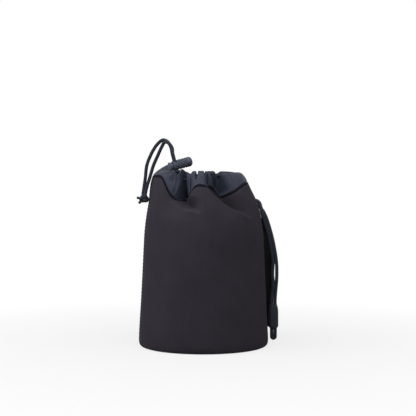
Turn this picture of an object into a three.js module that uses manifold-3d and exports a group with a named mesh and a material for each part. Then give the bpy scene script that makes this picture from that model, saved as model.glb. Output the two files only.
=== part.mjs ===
// Drawstring lens pouch: a padded neoprene cup with a gathered nylon collar, a drawstring with a spring
// lock, a webbing belt loop and a doubled carry cord with a slider.
// Millimetres, +Z up. The origin is the middle of the underside, the front faces -Y and +X is to the right.
// An azimuth is counted in degrees from the front towards +X.

import * as THREE from 'three';
import { mergeVertices } from 'three/addons/utils/BufferGeometryUtils.js';
import Module from 'manifold-3d';

const wasm = await Module();
wasm.setup();

// Padded cup
const baseRadius = 52.3;
const wallHeight = 133;
const wallThickness = 4.5;
const cornerRadius = 6.5;
const wallTaper = 6.1;
const shoulderLength = 48;
const shoulderDrop = 7;
const neckLean = -2.3;
const neckLeanLength = 21;
const neckTilt = 2.4;
const liningThickness = 1.2;
const padThickness = 3;
const floorLiningThickness = 1;
const tapeThickness = 0.8;
const tapeWidth = 4.5;
const clearance = 0.3;

// Folds that the drawstring pulls into the neck: azimuth in degrees, and strength beside the deepest one
const neckFolds = [
  { azimuth: -25, strength: 1 },
  { azimuth: 28, strength: 0.85 },
  { azimuth: 148, strength: 0.8 },
  { azimuth: -172, strength: 0.95 },
  { azimuth: -132, strength: 0.85 },
];
const foldDepth = 6.5;
const foldDip = 15.5;
const foldWidth = 15;
const foldLength = 45;
const foldEase = 0.25;

// Collar, hem and seam piping
const pipingRadius = 0.65;
const collarThickness = 0.9;
const collarCrown = 4;
const collarCrownPlace = 0.4;
const hemRadius = 26;
const hemRise = 3.4;
const hemLift = 6.1;
const hemLiftAzimuth = -88;
const hemLiftWidth = 26;
const hemDip = 1.3;
const hemDipWidth = 14;
const hemTubeRadius = 3.2;
const hemOverlapStart = -25;
const hemOverlapEnd = 292;
const pleatCount = 16;
const pleatRadial = 0.65;
const pleatRise = 0.55;
const pleatFreeTurn = 8;

// Drawstring, eyelet and knot
const stringDiameter = 2.1;
const stringSpacing = stringDiameter + clearance;
const exitAzimuth = -42;
const eyeletBoreRadius = 0.5 * (stringSpacing + stringDiameter) + clearance;
const eyeletRimRadius = eyeletBoreRadius + 1.2;
const eyeletThickness = 0.7;
const eyeletLip = 0.4;
const exitSlitRise = 0.5;
const stringEndDepth = 0.4;
const stringExitTurn = 12;
const knotSize = [3.7, 3.0, 3.1];
const knotTailLength = 1.8;

// Cord lock: a barrel closed at its round end, and a sprung plunger with a window for the cords
const lockTilt = 15;
const lockYaw = 20;
const lockLength = 19.5;
const lockRadius = 3.9;
const lockWall = 0.65;
const lockLip = 0.9;
const plungerHeadLength = 1.4;
const plungerHeadRadius = 3.4;
const plungerTravel = 1.4;
const plungerEndLength = 1.5;
const lockEndWall = 1.6;
const lockDome = 2.6;
const lockEdge = 0.5;
const lockSlide = 5.5;
const springWire = 0.5;
const springCoilRadius = 2.1;
const springTurns = 6;

// Belt loop of flat webbing
const loopAzimuth = 108;
const loopWidth = 20;
const loopThickness = 1.4;
const loopGap = 5.5;
const loopBottom = 14;
const loopTop = 101;
const loopSewnLength = 10;
const loopRampLength = 17;

// Carry cord, the tab that holds its ends, and its slider
const carryDiameter = 2.5;
const carrySpacing = carryDiameter + clearance;
const tabAzimuth = 125;
const tabDrop = 4.8;
const tabWidth = 9;
const tabLength = 8;
const tabLayer = 0.65;
const tabThickness = carryDiameter + 2 * tabLayer;
const tabEdge = 0.8;
const sliderAzimuth = 85.4;
const sliderStandOff = 4.2;
const sliderBottom = 14.2;
const sliderLength = 19;
const sliderEndWall = 1;
const sliderSideWall = 1.55;
const sliderHalfWidth = 0.5 * (carrySpacing + carryDiameter) + clearance + sliderEndWall;
const sliderHalfDepth = 0.5 * carryDiameter + clearance + sliderSideWall;
const sliderNoseRound = 3;
const sliderTopTaper = 0.7;
const sliderTopTaperLength = 7;
const carryFoldBottom = 6.2;

// Facets
const aroundSteps = 58;
const lockFacets = 24;
const discFacets = 46;
const shortestEdge = 0.02;

const palette = {
  neoprene: { color: 0x2b292e, roughness: 0.92, metalness: 0 },
  plush: { color: 0x1d1d20, roughness: 1, metalness: 0 },
  foam: { color: 0x3a3a3c, roughness: 0.95, metalness: 0 },
  nylon: { color: 0x1e1f26, roughness: 0.7, metalness: 0 },
  tape: { color: 0x151517, roughness: 0.8, metalness: 0 },
  cord: { color: 0x17171a, roughness: 0.75, metalness: 0 },
  webbing: { color: 0x202024, roughness: 0.8, metalness: 0 },
  plastic: { color: 0x1c1c1f, roughness: 0.45, metalness: 0 },
  steel: { color: 0xb4b6b8, roughness: 0.35, metalness: 1 },
};

const group = new THREE.Group();
const rad = THREE.MathUtils.degToRad;
const smooth = THREE.MathUtils.smoothstep;

function addMesh(name, geometry, finish) {
  const mesh = new THREE.Mesh(geometry, new THREE.MeshStandardMaterial(palette[finish]));
  mesh.name = name;
  group.add(mesh);
  return mesh;
}

// Closed meshes, joined and cut, with the shortest edges of a cut merged
function positionsOnly(geometry) {
  const bare = geometry.clone();
  bare.deleteAttribute('normal');
  bare.deleteAttribute('uv');
  return mergeVertices(bare, 1e-4);
}

function solidOf(geometry) {
  const merged = positionsOnly(geometry);
  return new wasm.Manifold(new wasm.Mesh({
    numProp: 3,
    vertProperties: new Float32Array(merged.attributes.position.array),
    triVerts: new Uint32Array(merged.index.array),
  }));
}

function geometryOf(solid) {
  const mesh = solid.getMesh();
  const geometry = new THREE.BufferGeometry();
  geometry.setAttribute('position', new THREE.BufferAttribute(new Float32Array(mesh.vertProperties), 3));
  geometry.setIndex(new THREE.BufferAttribute(new Uint32Array(mesh.triVerts), 1));
  return geometry;
}

function cut(geometry, ...tools) {
  const rest = tools.reduce((solid, tool) => solid.subtract(solidOf(tool)), solidOf(geometry));
  return geometryOf(rest.simplify(shortestEdge));
}

function join(geometry, ...others) {
  const whole = others.reduce((solid, other) => solid.add(solidOf(other)), solidOf(geometry));
  return geometryOf(whole.simplify(shortestEdge));
}

function facesOut(geometry) {
  const p = geometry.attributes.position;
  const index = geometry.index.array;
  const [a, b, c] = [new THREE.Vector3(), new THREE.Vector3(), new THREE.Vector3()];
  let volume = 0;
  for (let i = 0; i < index.length; i += 3) {
    a.fromBufferAttribute(p, index[i]);
    b.fromBufferAttribute(p, index[i + 1]);
    c.fromBufferAttribute(p, index[i + 2]);
    volume += a.dot(b.cross(c));
  }
  if (volume < 0) {
    for (let i = 0; i < index.length; i += 3) {
      [index[i], index[i + 1]] = [index[i + 1], index[i]];
    }
  }
  return geometry;
}

// A ring-shaped solid: one closed section at each step round the axis
function ringSolid(sectionAt) {
  const sections = [];
  for (let i = 0; i < aroundSteps; i += 1) {
    sections.push(sectionAt((360 * i) / aroundSteps));
  }
  const size = sections[0].length;
  const index = [];
  for (let i = 0; i < aroundSteps; i += 1) {
    const next = (i + 1) % aroundSteps;
    for (let j = 0; j < size; j += 1) {
      const k = (j + 1) % size;
      const quad = [i * size + j, next * size + j, next * size + k, i * size + k];
      index.push(quad[0], quad[1], quad[2], quad[0], quad[2], quad[3]);
    }
  }
  const geometry = new THREE.BufferGeometry().setFromPoints(sections.flat());
  geometry.setIndex(index);
  return facesOut(geometry);
}

// A cord's route: its steps are spread evenly over the points, so a tight bend has more of them
class RouteCurve extends THREE.CatmullRomCurve3 {
  getUtoTmapping(u) {
    return u;
  }
}

// A round cord along a curve
function cordSolid(curve, diameter, steps, sides = 8) {
  const section = new THREE.Shape();
  for (let i = 0; i < sides; i += 1) {
    const angle = (2 * Math.PI * (i + 0.5)) / sides;
    const point = [0.5 * diameter * Math.cos(angle), 0.5 * diameter * Math.sin(angle)];
    if (i === 0) section.moveTo(...point);
    else section.lineTo(...point);
  }
  section.closePath();
  return new THREE.ExtrudeGeometry(section, { steps, extrudePath: curve, bevelEnabled: false });
}

const vec = (p) => new THREE.Vector3(...p);

// Shape of the cup
const pointAt = (azimuth, radius, z, shift = 0) => new THREE.Vector3(
  shift + radius * Math.sin(rad(azimuth)), -radius * Math.cos(rad(azimuth)), z,
);

const turnBetween = (a, b) => THREE.MathUtils.euclideanModulo(a - b + 180, 360) - 180;

const bell = (azimuth, middle, width) => Math.exp(-((turnBetween(azimuth, middle) / width) ** 2));

const foldAt = (azimuth) => neckFolds.reduce(
  (sum, fold) => sum + fold.strength * bell(azimuth, fold.azimuth, foldWidth),
  0,
);

function wallRadius(z) {
  const taper = (wallTaper * Math.max(0, z - cornerRadius)) / (wallHeight - cornerRadius);
  const shoulder = Math.max(0, z - wallHeight + shoulderLength) / shoulderLength;
  return baseRadius - taper - shoulderDrop * shoulder ** 2;
}

const leanAt = (z) => neckLean * smooth(z, wallHeight - neckLeanLength, wallHeight);

// The outer face at a height on the unfolded wall
function wallPoint(azimuth, z) {
  const fold = foldAt(azimuth);
  const share = Math.max(0, z - wallHeight + foldLength) / foldLength;
  const radius = wallRadius(z) - foldDepth * fold * smooth(share, foldEase, 1);
  const height = z - (foldDip * fold + neckTilt * Math.sin(rad(azimuth))) * share ** 2;
  return pointAt(azimuth, radius, height, leanAt(z));
}

function wallFrame(azimuth, z) {
  const step = 0.05;
  const point = wallPoint(azimuth, z);
  const up = wallPoint(azimuth, z + step).sub(wallPoint(azimuth, z - step)).normalize();
  const along = wallPoint(azimuth + step, z).sub(wallPoint(azimuth - step, z)).normalize();
  const out = along.clone().cross(up).normalize();
  return { point, up, along, out };
}

function behindWall(azimuth, z, depth) {
  const { point, out } = wallFrame(azimuth, z);
  return point.addScaledVector(out, -depth);
}

// A point beside the unfolded wall, at a height over its top edge
function besideWall([azimuth, standOff, rise]) {
  const wallZ = wallHeight + Math.min(0, rise);
  return pointAt(azimuth, wallRadius(wallZ) + standOff, wallHeight + rise, leanAt(wallZ));
}

// Heights at which the wall is drawn: two on its straight part, and the rest closer together in the folds
const foldShares = [0, 0.2, 0.38, 0.53, 0.69, 0.82, 0.92, 1];
const wallStations = [
  4 * cornerRadius,
  ...foldShares.map((share) => wallHeight - foldLength * (1 - share)),
];

// Outer shell: the wall turns in at the bottom to meet the base panel
function outerShell() {
  const cornerSteps = 3;
  return ringSolid((azimuth) => {
    const outer = [];
    const inner = [];
    const turn = (radius, angle) => pointAt(
      azimuth,
      baseRadius - cornerRadius + radius * Math.sin(angle),
      cornerRadius - radius * Math.cos(angle),
    );
    for (let i = 0; i <= cornerSteps; i += 1) {
      const angle = (0.5 * Math.PI * i) / cornerSteps;
      outer.push(turn(cornerRadius, angle));
      inner.push(turn(cornerRadius - wallThickness, angle));
    }
    for (const z of wallStations) {
      outer.push(wallPoint(azimuth, z));
      inner.push(behindWall(azimuth, z, wallThickness));
    }
    return [...outer, ...inner.reverse()];
  });
}

const floorTop = wallThickness + clearance + padThickness;
const floorLiningTop = floorTop + clearance + floorLiningThickness;
const floorRadius = baseRadius - cornerRadius - clearance;
const liningDepth = wallThickness + clearance;
const padRadius = baseRadius - liningDepth - liningThickness - 3 * clearance;

function innerLining() {
  const stations = [floorTop + 2 * clearance, ...wallStations.slice(0, -1)];
  return ringSolid((azimuth) => {
    const outer = stations.map((z) => behindWall(azimuth, z, liningDepth));
    const inner = stations.map((z) => behindWall(azimuth, z, liningDepth + liningThickness));
    return [...inner, ...outer.reverse()];
  });
}

function disc(radius, bottom, thickness) {
  const disk = new THREE.CylinderGeometry(radius, radius, thickness, discFacets);
  return disk.rotateX(0.5 * Math.PI).translate(0, 0, bottom + 0.5 * thickness);
}

function floorTape() {
  const legTop = floorLiningTop + clearance + tapeWidth;
  const radius = wallRadius(legTop) - liningDepth - liningThickness - 2 * clearance;
  const bottom = floorLiningTop + clearance;
  const outline = [
    [radius - tapeWidth, bottom],
    [radius, bottom],
    [radius, legTop],
    [radius - tapeThickness, legTop],
    [radius - tapeThickness, bottom + tapeThickness],
    [radius - tapeWidth, bottom + tapeThickness],
    [radius - tapeWidth, bottom],
  ].map((p) => new THREE.Vector2(...p));
  return new THREE.LatheGeometry(outline, discFacets).rotateX(0.5 * Math.PI);
}

// The piping lies in the seam between the wall's top edge and the collar's lower edge
const pipingRise = 1.5 * clearance + pipingRadius;
const collarRise = 2 * pipingRise;

function seamPiping() {
  const sides = 6;
  return ringSolid((azimuth) => {
    const { point, up, out } = wallFrame(azimuth, wallHeight);
    const centre = point.addScaledVector(up, pipingRise).addScaledVector(out, -pipingRadius);
    return Array.from({ length: sides }, (_, i) => {
      const angle = (2 * Math.PI * i) / sides;
      return centre.clone()
        .addScaledVector(up, pipingRadius * Math.sin(angle))
        .addScaledVector(out, pipingRadius * Math.cos(angle));
    });
  });
}

// Collar: from the seam it leans in to the hem, which is folded over the drawstring and slit under the
// eyelet. The hem stands up at the left and is pressed down under the cord lock
function hemPoint(azimuth, pleating = 1) {
  const away = Math.abs(turnBetween(azimuth, exitAzimuth));
  const wave = pleating * Math.cos(rad(pleatCount * away)) * smooth(away, pleatFreeTurn, 360 / pleatCount);
  const height = wallHeight + hemRise - pleatRise * wave
    + hemLift * bell(azimuth, hemLiftAzimuth, hemLiftWidth)
    - hemDip * bell(azimuth, exitAzimuth, hemDipWidth);
  return pointAt(azimuth, hemRadius + pleatRadial * wave, height, neckLean);
}

function collar() {
  const skirtSteps = 3;
  const hemSteps = 7;
  const section = (azimuth, face) => {
    const { point, up, out } = wallFrame(azimuth, wallHeight);
    const start = point.addScaledVector(up, collarRise).addScaledVector(out, -clearance - face);
    const hem = hemPoint(azimuth);
    const outward = pointAt(azimuth, 1, 0);
    const onHem = (degrees) => hem.clone()
      .addScaledVector(outward, (hemTubeRadius - face) * Math.cos(rad(degrees)))
      .add(new THREE.Vector3(0, 0, (hemTubeRadius - face) * Math.sin(rad(degrees))));
    const end = onHem(hemOverlapStart);
    const crown = start.clone().lerp(end, collarCrownPlace).add(new THREE.Vector3(0, 0, collarCrown));
    const skirt = new THREE.QuadraticBezierCurve3(start, crown, end).getPoints(skirtSteps);
    const sweep = (hemOverlapEnd - hemOverlapStart) / hemSteps;
    const hook = Array.from({ length: hemSteps }, (_, i) => onHem(hemOverlapStart + sweep * (i + 1)));
    return [...skirt, ...hook];
  };
  const body = ringSolid((azimuth) => [
    ...section(azimuth, 0),
    ...section(azimuth, collarThickness).reverse(),
  ]);
  const slitLength = 2 * (eyeletRimRadius - clearance);
  const slit = new THREE.BoxGeometry(slitLength, 3 * hemTubeRadius, 2 * hemTubeRadius);
  slit.rotateZ(rad(exitAzimuth)).translate(...exitPoint).translate(0, 0, exitSlitRise + hemTubeRadius);
  return cut(body, slit);
}

// Frame of the cord lock at the place where the cords leave the hem
const exitPoint = hemPoint(exitAzimuth);
const lockAlong = new THREE.Vector3(
  Math.cos(rad(lockYaw)) * Math.cos(rad(lockTilt)),
  Math.sin(rad(lockYaw)) * Math.cos(rad(lockTilt)),
  Math.sin(rad(lockTilt)),
);
const lockAcross = new THREE.Vector3(-Math.sin(rad(lockYaw)), Math.cos(rad(lockYaw)), 0);
const cordUp = lockAlong.clone().cross(lockAcross);

function placeOnExit(geometry, rise) {
  const frame = new THREE.Matrix4().makeBasis(lockAlong, lockAcross, cordUp);
  frame.setPosition(exitPoint.clone().addScaledVector(cordUp, rise));
  return geometry.applyMatrix4(frame);
}

const eyeletRise = hemTubeRadius + eyeletRimRadius * Math.sin(rad(lockTilt)) + 2 * clearance;
const lockRise = eyeletRise + eyeletThickness + clearance + lockRadius;

function eyelet() {
  const outline = [
    [eyeletBoreRadius, 0],
    [eyeletRimRadius, 0],
    [eyeletRimRadius, eyeletThickness - eyeletLip],
    [eyeletRimRadius - eyeletLip, eyeletThickness],
    [eyeletBoreRadius, eyeletThickness],
    [eyeletBoreRadius, 0],
  ].map((p) => new THREE.Vector2(...p));
  return placeOnExit(new THREE.LatheGeometry(outline, lockFacets).rotateX(0.5 * Math.PI), eyeletRise);
}

// Cord lock, drawn along its own X axis with the cords' crossing at the origin
const cordRoom = 0.5 * stringDiameter + clearance;
const mouthAt = -(cordRoom + lockLip);
const headOuterEnd = mouthAt - plungerTravel - clearance - plungerHeadLength;
const roundEnd = headOuterEnd + lockLength;
const boreHalfWidth = 0.5 * stringSpacing + cordRoom;
const cavityRadius = lockRadius - lockWall;
const stemRadius = cavityRadius - clearance;
const stemEnd = cordRoom + plungerEndLength;
const cavityEnd = roundEnd - lockEndWall;

const alongX = (points) => new THREE.LatheGeometry(
  points.map(([x, radius]) => new THREE.Vector2(radius, x)),
  lockFacets,
).rotateZ(-0.5 * Math.PI);

function slotTool(from, to, halfWidth, halfHeight) {
  const shape = new THREE.Shape();
  shape.moveTo(from, -halfWidth);
  shape.lineTo(to, -halfWidth);
  shape.lineTo(to, halfWidth);
  shape.lineTo(from, halfWidth);
  shape.closePath();
  const tool = new THREE.ExtrudeGeometry(shape, { depth: 2 * halfHeight, bevelEnabled: false });
  return tool.translate(0, 0, -halfHeight);
}

function lockBarrel() {
  const domeSteps = 4;
  const dome = Array.from({ length: domeSteps }, (_, i) => {
    const angle = (0.5 * Math.PI * i) / domeSteps;
    return [roundEnd - lockDome * (1 - Math.sin(angle)), lockRadius * Math.cos(angle)];
  });
  const body = alongX([
    [cavityEnd, 0],
    [cavityEnd, cavityRadius],
    [mouthAt, cavityRadius],
    [mouthAt, lockRadius - lockEdge],
    [mouthAt + lockEdge, lockRadius],
    ...dome,
    [roundEnd, 0],
  ]);
  const bore = slotTool(-cordRoom, cordRoom, boreHalfWidth, 2 * lockRadius);
  return placeOnExit(cut(body, bore), lockRise);
}

function lockPlunger() {
  const body = alongX([
    [headOuterEnd, 0],
    [headOuterEnd, plungerHeadRadius - lockEdge],
    [headOuterEnd + lockEdge, plungerHeadRadius],
    [headOuterEnd + plungerHeadLength, plungerHeadRadius],
    [headOuterEnd + plungerHeadLength, stemRadius],
    [stemEnd, stemRadius],
    [stemEnd, 0],
  ]);
  const window = slotTool(-cordRoom - plungerTravel, cordRoom, boreHalfWidth, 2 * lockRadius);
  return placeOnExit(cut(body, window), lockRise);
}

class HelixCurve extends THREE.Curve {
  constructor(start, end, radius, turns) {
    super();
    Object.assign(this, { start, end, radius, turns });
  }

  getPoint(t, target = new THREE.Vector3()) {
    const angle = 2 * Math.PI * this.turns * t;
    const x = this.start + (this.end - this.start) * t;
    return target.set(x, this.radius * Math.cos(angle), this.radius * Math.sin(angle));
  }
}

function lockSpring() {
  const seat = clearance + 0.5 * springWire;
  const helix = new HelixCurve(stemEnd + seat, cavityEnd - seat, springCoilRadius, springTurns);
  return placeOnExit(cordSolid(helix, springWire, springTurns * 8, 5), lockRise);
}

// Drawstring: a run round the middle of the hem, and two tails that leave it through the eyelet and the lock
const strandAt = (side, rise) => exitPoint.clone()
  .addScaledVector(lockAcross, 0.5 * side * stringSpacing)
  .addScaledVector(cordUp, rise);
const runEnd = hemTubeRadius - stringEndDepth;

function drawstringRun() {
  const steps = 32;
  const sweep = (360 - 2 * stringExitTurn) / steps;
  const points = [strandAt(-1, runEnd), strandAt(-1, 0.3 * runEnd)];
  for (let i = 0; i <= steps; i += 1) {
    points.push(hemPoint(exitAzimuth + stringExitTurn + sweep * i, 0));
  }
  points.push(strandAt(1, 0.3 * runEnd), strandAt(1, runEnd));
  return cordSolid(new RouteCurve(points), stringDiameter, points.length - 1, 6);
}

const tailStart = runEnd + clearance;
const tailTop = lockRise + lockRadius + lockSlide;

// Free stretches of the tails: azimuth, distance outside the wall's face and height over its top edge
const frontTailRoute = [
  [-46.1, -8.3, 24.8], [-50.8, -6.5, 29.2], [-55.6, -5.1, 30.0], [-60.6, -3.7, 26.0],
  [-65.7, -1.8, 19.4], [-70.4, 0.7, 11.8], [-74.1, 3.1, 2.0], [-76.2, 3.8, -5.5], [-76.6, 4.2, -11.0],
];
const backTailRoute = [
  [-53.0, -9.8, 26.0], [-59.0, -8.3, 30.8], [-64.4, -5.9, 32.0], [-68.3, -2.8, 29.4],
  [-71.3, 0.2, 24.8], [-74.1, 2.8, 19.0], [-76.3, 5.1, 12.0], [-78.1, 6.2, 1.0], [-79.8, 5.7, -11.1],
];

function drawstringTail(side, route) {
  const held = [0, 0.5, 1].map((t) => strandAt(side, THREE.MathUtils.lerp(tailStart, tailTop, t)));
  const points = [...held, ...route.map(besideWall)];
  return cordSolid(new RouteCurve(points), stringDiameter, 2 * (points.length - 1));
}

// The knot is tied under the tails' ends, which stick out of it to the left
function drawstringKnot() {
  const [width, depth, height] = knotSize;
  const centre = besideWall(frontTailRoute.at(-1)).lerp(besideWall(backTailRoute.at(-1)), 0.5);
  centre.z -= height + clearance;
  const ball = new THREE.IcosahedronGeometry(1, 2).scale(width, depth, height);
  ball.translate(centre.x, centre.y, centre.z);
  const ends = [[-1, -0.15, 0.1], [-0.85, 0.2, -0.75]].map((direction) => {
    const tip = centre.clone().addScaledVector(vec(direction).normalize(), width + knotTailLength);
    return cordSolid(new THREE.LineCurve3(centre, tip), stringDiameter, 1);
  });
  return join(ball, ...ends);
}

// Belt loop: flat webbing that lies on the wall at both sewn ends and stands clear between them
function beltLoop() {
  const bulgeHeight = 0.5 * (loopBottom + loopTop);
  const bulgeRadius = wallRadius(bulgeHeight) + loopGap;
  const onWall = (z) => [wallRadius(z) + clearance, z];
  const rampBottom = loopBottom + loopSewnLength;
  const rampTop = loopTop - loopSewnLength;
  const side = (shift) => {
    const path = new THREE.Path();
    const place = ([radius, z]) => [radius + shift, z];
    path.moveTo(...place(onWall(loopBottom)));
    path.lineTo(...place(onWall(rampBottom)));
    path.bezierCurveTo(
      ...place(onWall(rampBottom + 0.5 * loopRampLength)),
      bulgeRadius + shift, rampBottom + 0.5 * loopRampLength,
      bulgeRadius + shift, rampBottom + loopRampLength,
    );
    path.lineTo(bulgeRadius + shift, rampTop - loopRampLength);
    path.bezierCurveTo(
      bulgeRadius + shift, rampTop - 0.5 * loopRampLength,
      ...place(onWall(rampTop - 0.5 * loopRampLength)),
      ...place(onWall(rampTop)),
    );
    path.lineTo(...place(onWall(loopTop)));
    return path.getPoints(8);
  };
  const outline = new THREE.Shape([...side(0), ...side(loopThickness).reverse()]);
  const strap = new THREE.ExtrudeGeometry(outline, { depth: loopWidth, bevelEnabled: false });
  strap.translate(0, 0, -0.5 * loopWidth).rotateX(0.5 * Math.PI);
  return strap.rotateZ(rad(loopAzimuth - 90));
}

// Carry tab: a folded piece of webbing sewn over the cord's ends
const tabFrame = wallFrame(tabAzimuth, wallHeight - tabDrop);

function carryTab() {
  const { point, up, along, out } = tabFrame;
  const halfWidth = 0.5 * tabWidth;
  const shape = new THREE.Shape();
  shape.moveTo(-halfWidth + tabEdge, 0);
  shape.lineTo(halfWidth - tabEdge, 0);
  shape.lineTo(halfWidth, tabEdge);
  shape.lineTo(halfWidth, tabThickness - tabEdge);
  shape.lineTo(halfWidth - tabEdge, tabThickness);
  shape.lineTo(-halfWidth + tabEdge, tabThickness);
  shape.lineTo(-halfWidth, tabThickness - tabEdge);
  shape.lineTo(-halfWidth, tabEdge);
  shape.closePath();
  const tab = new THREE.ExtrudeGeometry(shape, { depth: tabLength, bevelEnabled: false });
  tab.translate(0, 0, -0.5 * tabLength);
  const frame = new THREE.Matrix4().makeBasis(along.clone().negate(), out, up);
  frame.setPosition(point.clone().addScaledVector(out, 2 * clearance));
  return tab.applyMatrix4(frame);
}

// Carry cord: both ends come out of the tab, and the fold hangs below the slider
const sliderCentre = pointAt(sliderAzimuth, baseRadius + sliderStandOff, sliderBottom);

// Free stretches of the carry cord: azimuth, distance outside the wall's face and height over its top edge
const frontStrandRoute = [
  [116, 2.0, -15.0], [107, 1.9, -16.2], [99, 2.1, -18.8], [93.5, 2.9, -23.5], [89.6, 4.3, -30.5],
  [87, 5.9, -38], [85.7, 7.4, -46], [85.5, 8.5, -55], [85.6, 9.0, -66], [85.6, 8.3, -78],
];
const backStrandRoute = [
  [85.3, 4.9, -78], [85.3, 5.4, -66], [85.6, 5.5, -55], [87.1, 5.1, -46], [89.8, 4.4, -38.5],
  [93.2, 3.5, -32], [98, 2.5, -26], [104.5, 2.0, -21.8],
  [111.5, 1.9, -19.4], [119.5, 2.0, -17.9],
];

const tabEnd = (side, drop) => tabFrame.point.clone()
  .addScaledVector(tabFrame.out, 2 * clearance + 0.5 * tabThickness)
  .addScaledVector(tabFrame.along, 0.5 * side * carrySpacing)
  .addScaledVector(tabFrame.up, -0.5 * tabLength - clearance - drop);

function carryCord() {
  const foldRadius = 0.5 * carrySpacing;
  const sliderTop = sliderBottom + sliderLength;
  const straight = [14.5, 7, -5, -17, -24].map((rise) => sliderTop + rise);
  const inSlider = (offset, z) => new THREE.Vector3(sliderCentre.x + offset, sliderCentre.y, z);
  const fold = [150, 120, 90, 60, 30].map((degrees) => inSlider(
    -foldRadius * Math.cos(rad(degrees)),
    carryFoldBottom + foldRadius * (1 - Math.sin(rad(degrees))),
  ));
  const points = [
    tabEnd(-1, 0),
    tabEnd(-1, carryDiameter),
    ...frontStrandRoute.map(besideWall),
    ...straight.map((z) => inSlider(foldRadius, z)),
    ...fold,
    ...straight.toReversed().map((z) => inSlider(-foldRadius, z)),
    ...backStrandRoute.map(besideWall),
    tabEnd(1, carryDiameter),
    tabEnd(1, 0),
  ];
  return cordSolid(new RouteCurve(points), carryDiameter, 2 * (points.length - 1));
}

// Slider: a moulded sleeve with one oblong passage for both strands
function carrySlider() {
  const outline = new THREE.Path();
  outline.moveTo(0, 0);
  outline.lineTo(sliderHalfWidth - sliderTopTaper, 0);
  outline.quadraticCurveTo(sliderHalfWidth, 0, sliderHalfWidth, sliderNoseRound);
  outline.lineTo(sliderHalfWidth, sliderLength - sliderTopTaperLength);
  outline.quadraticCurveTo(
    sliderHalfWidth, sliderLength - 0.5 * sliderTopTaperLength,
    sliderHalfWidth - sliderTopTaper, sliderLength,
  );
  outline.lineTo(0, sliderLength);
  const body = new THREE.LatheGeometry(outline.getPoints(3), lockFacets).rotateX(0.5 * Math.PI);
  body.scale(1, sliderHalfDepth / sliderHalfWidth, 1);
  const room = 0.5 * carryDiameter + clearance;
  const slot = new THREE.Shape();
  slot.absarc(0.5 * carrySpacing, 0, room, -0.5 * Math.PI, 0.5 * Math.PI);
  slot.absarc(-0.5 * carrySpacing, 0, room, 0.5 * Math.PI, 1.5 * Math.PI);
  const passage = new THREE.ExtrudeGeometry(slot, {
    depth: 2 * sliderLength,
    bevelEnabled: false,
    curveSegments: 6,
  });
  passage.translate(0, 0, -0.5 * sliderLength);
  return cut(body, passage).translate(sliderCentre.x, sliderCentre.y, sliderBottom);
}

addMesh('outer_shell', outerShell(), 'neoprene');
addMesh('base_panel', disc(floorRadius, 0, wallThickness), 'neoprene');
addMesh('base_pad', disc(padRadius, wallThickness + clearance, padThickness), 'foam');
addMesh('floor_lining', disc(padRadius, floorTop + clearance, floorLiningThickness), 'plush');
addMesh('floor_seam_tape', floorTape(), 'tape');
addMesh('inner_lining', innerLining(), 'plush');
addMesh('seam_piping', seamPiping(), 'tape');
addMesh('collar', collar(), 'nylon');
addMesh('cord_eyelet', eyelet(), 'plastic');
addMesh('drawstring_run', drawstringRun(), 'cord');
addMesh('drawstring_tail_front', drawstringTail(-1, frontTailRoute), 'cord');
addMesh('drawstring_tail_back', drawstringTail(1, backTailRoute), 'cord');
addMesh('drawstring_knot', drawstringKnot(), 'cord');
addMesh('cord_lock_barrel', lockBarrel(), 'plastic');
addMesh('cord_lock_plunger', lockPlunger(), 'plastic');
addMesh('cord_lock_spring', lockSpring(), 'steel');
addMesh('belt_loop', beltLoop(), 'webbing');
addMesh('carry_tab', carryTab(), 'webbing');
addMesh('carry_cord', carryCord(), 'cord');
addMesh('carry_slider', carrySlider(), 'plastic');

export default group;
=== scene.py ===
"""Looks of a padded drawstring lens pouch, made round its frame.

Azimuths are degrees from the front (-Y) towards +X, and lengths are metres.
"""

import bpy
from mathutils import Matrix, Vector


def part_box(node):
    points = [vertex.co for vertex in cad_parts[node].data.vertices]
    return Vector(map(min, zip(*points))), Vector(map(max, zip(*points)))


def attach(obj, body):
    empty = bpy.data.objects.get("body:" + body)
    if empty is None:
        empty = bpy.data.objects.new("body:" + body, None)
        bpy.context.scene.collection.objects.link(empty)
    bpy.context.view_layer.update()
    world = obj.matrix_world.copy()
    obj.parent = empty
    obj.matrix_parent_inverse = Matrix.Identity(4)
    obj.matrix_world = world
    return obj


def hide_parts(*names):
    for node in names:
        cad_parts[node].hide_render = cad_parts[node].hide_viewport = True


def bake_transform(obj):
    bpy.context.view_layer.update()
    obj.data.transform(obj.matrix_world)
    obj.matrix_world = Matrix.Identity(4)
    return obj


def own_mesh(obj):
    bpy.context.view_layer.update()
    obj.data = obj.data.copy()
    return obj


bl_info = {
    "name": "Drawstring lens pouch",
    "version": (1, 0, 0),
    "blender": (4, 5, 0),
    "location": "View3D > Sidebar > Lens pouch",
    "description": "Makes the cloth, cords and fittings of a padded lens pouch round its frame",
    "category": "Add Mesh",
}

import math

import bmesh
import bpy
import numpy as np
from mathutils import Matrix, Vector

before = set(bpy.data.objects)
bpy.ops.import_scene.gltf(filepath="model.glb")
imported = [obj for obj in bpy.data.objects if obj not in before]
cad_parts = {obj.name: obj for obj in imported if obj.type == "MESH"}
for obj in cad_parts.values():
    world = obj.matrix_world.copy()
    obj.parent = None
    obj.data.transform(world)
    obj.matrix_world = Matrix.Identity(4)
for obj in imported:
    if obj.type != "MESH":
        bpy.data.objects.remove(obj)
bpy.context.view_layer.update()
SHELL_LOW, SHELL_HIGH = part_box("outer_shell")

MM = 0.001
CLEARANCE = 0.3 * MM
MERGE_DISTANCE = 1e-7
NEARLY_NOTHING = 1e-3

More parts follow.
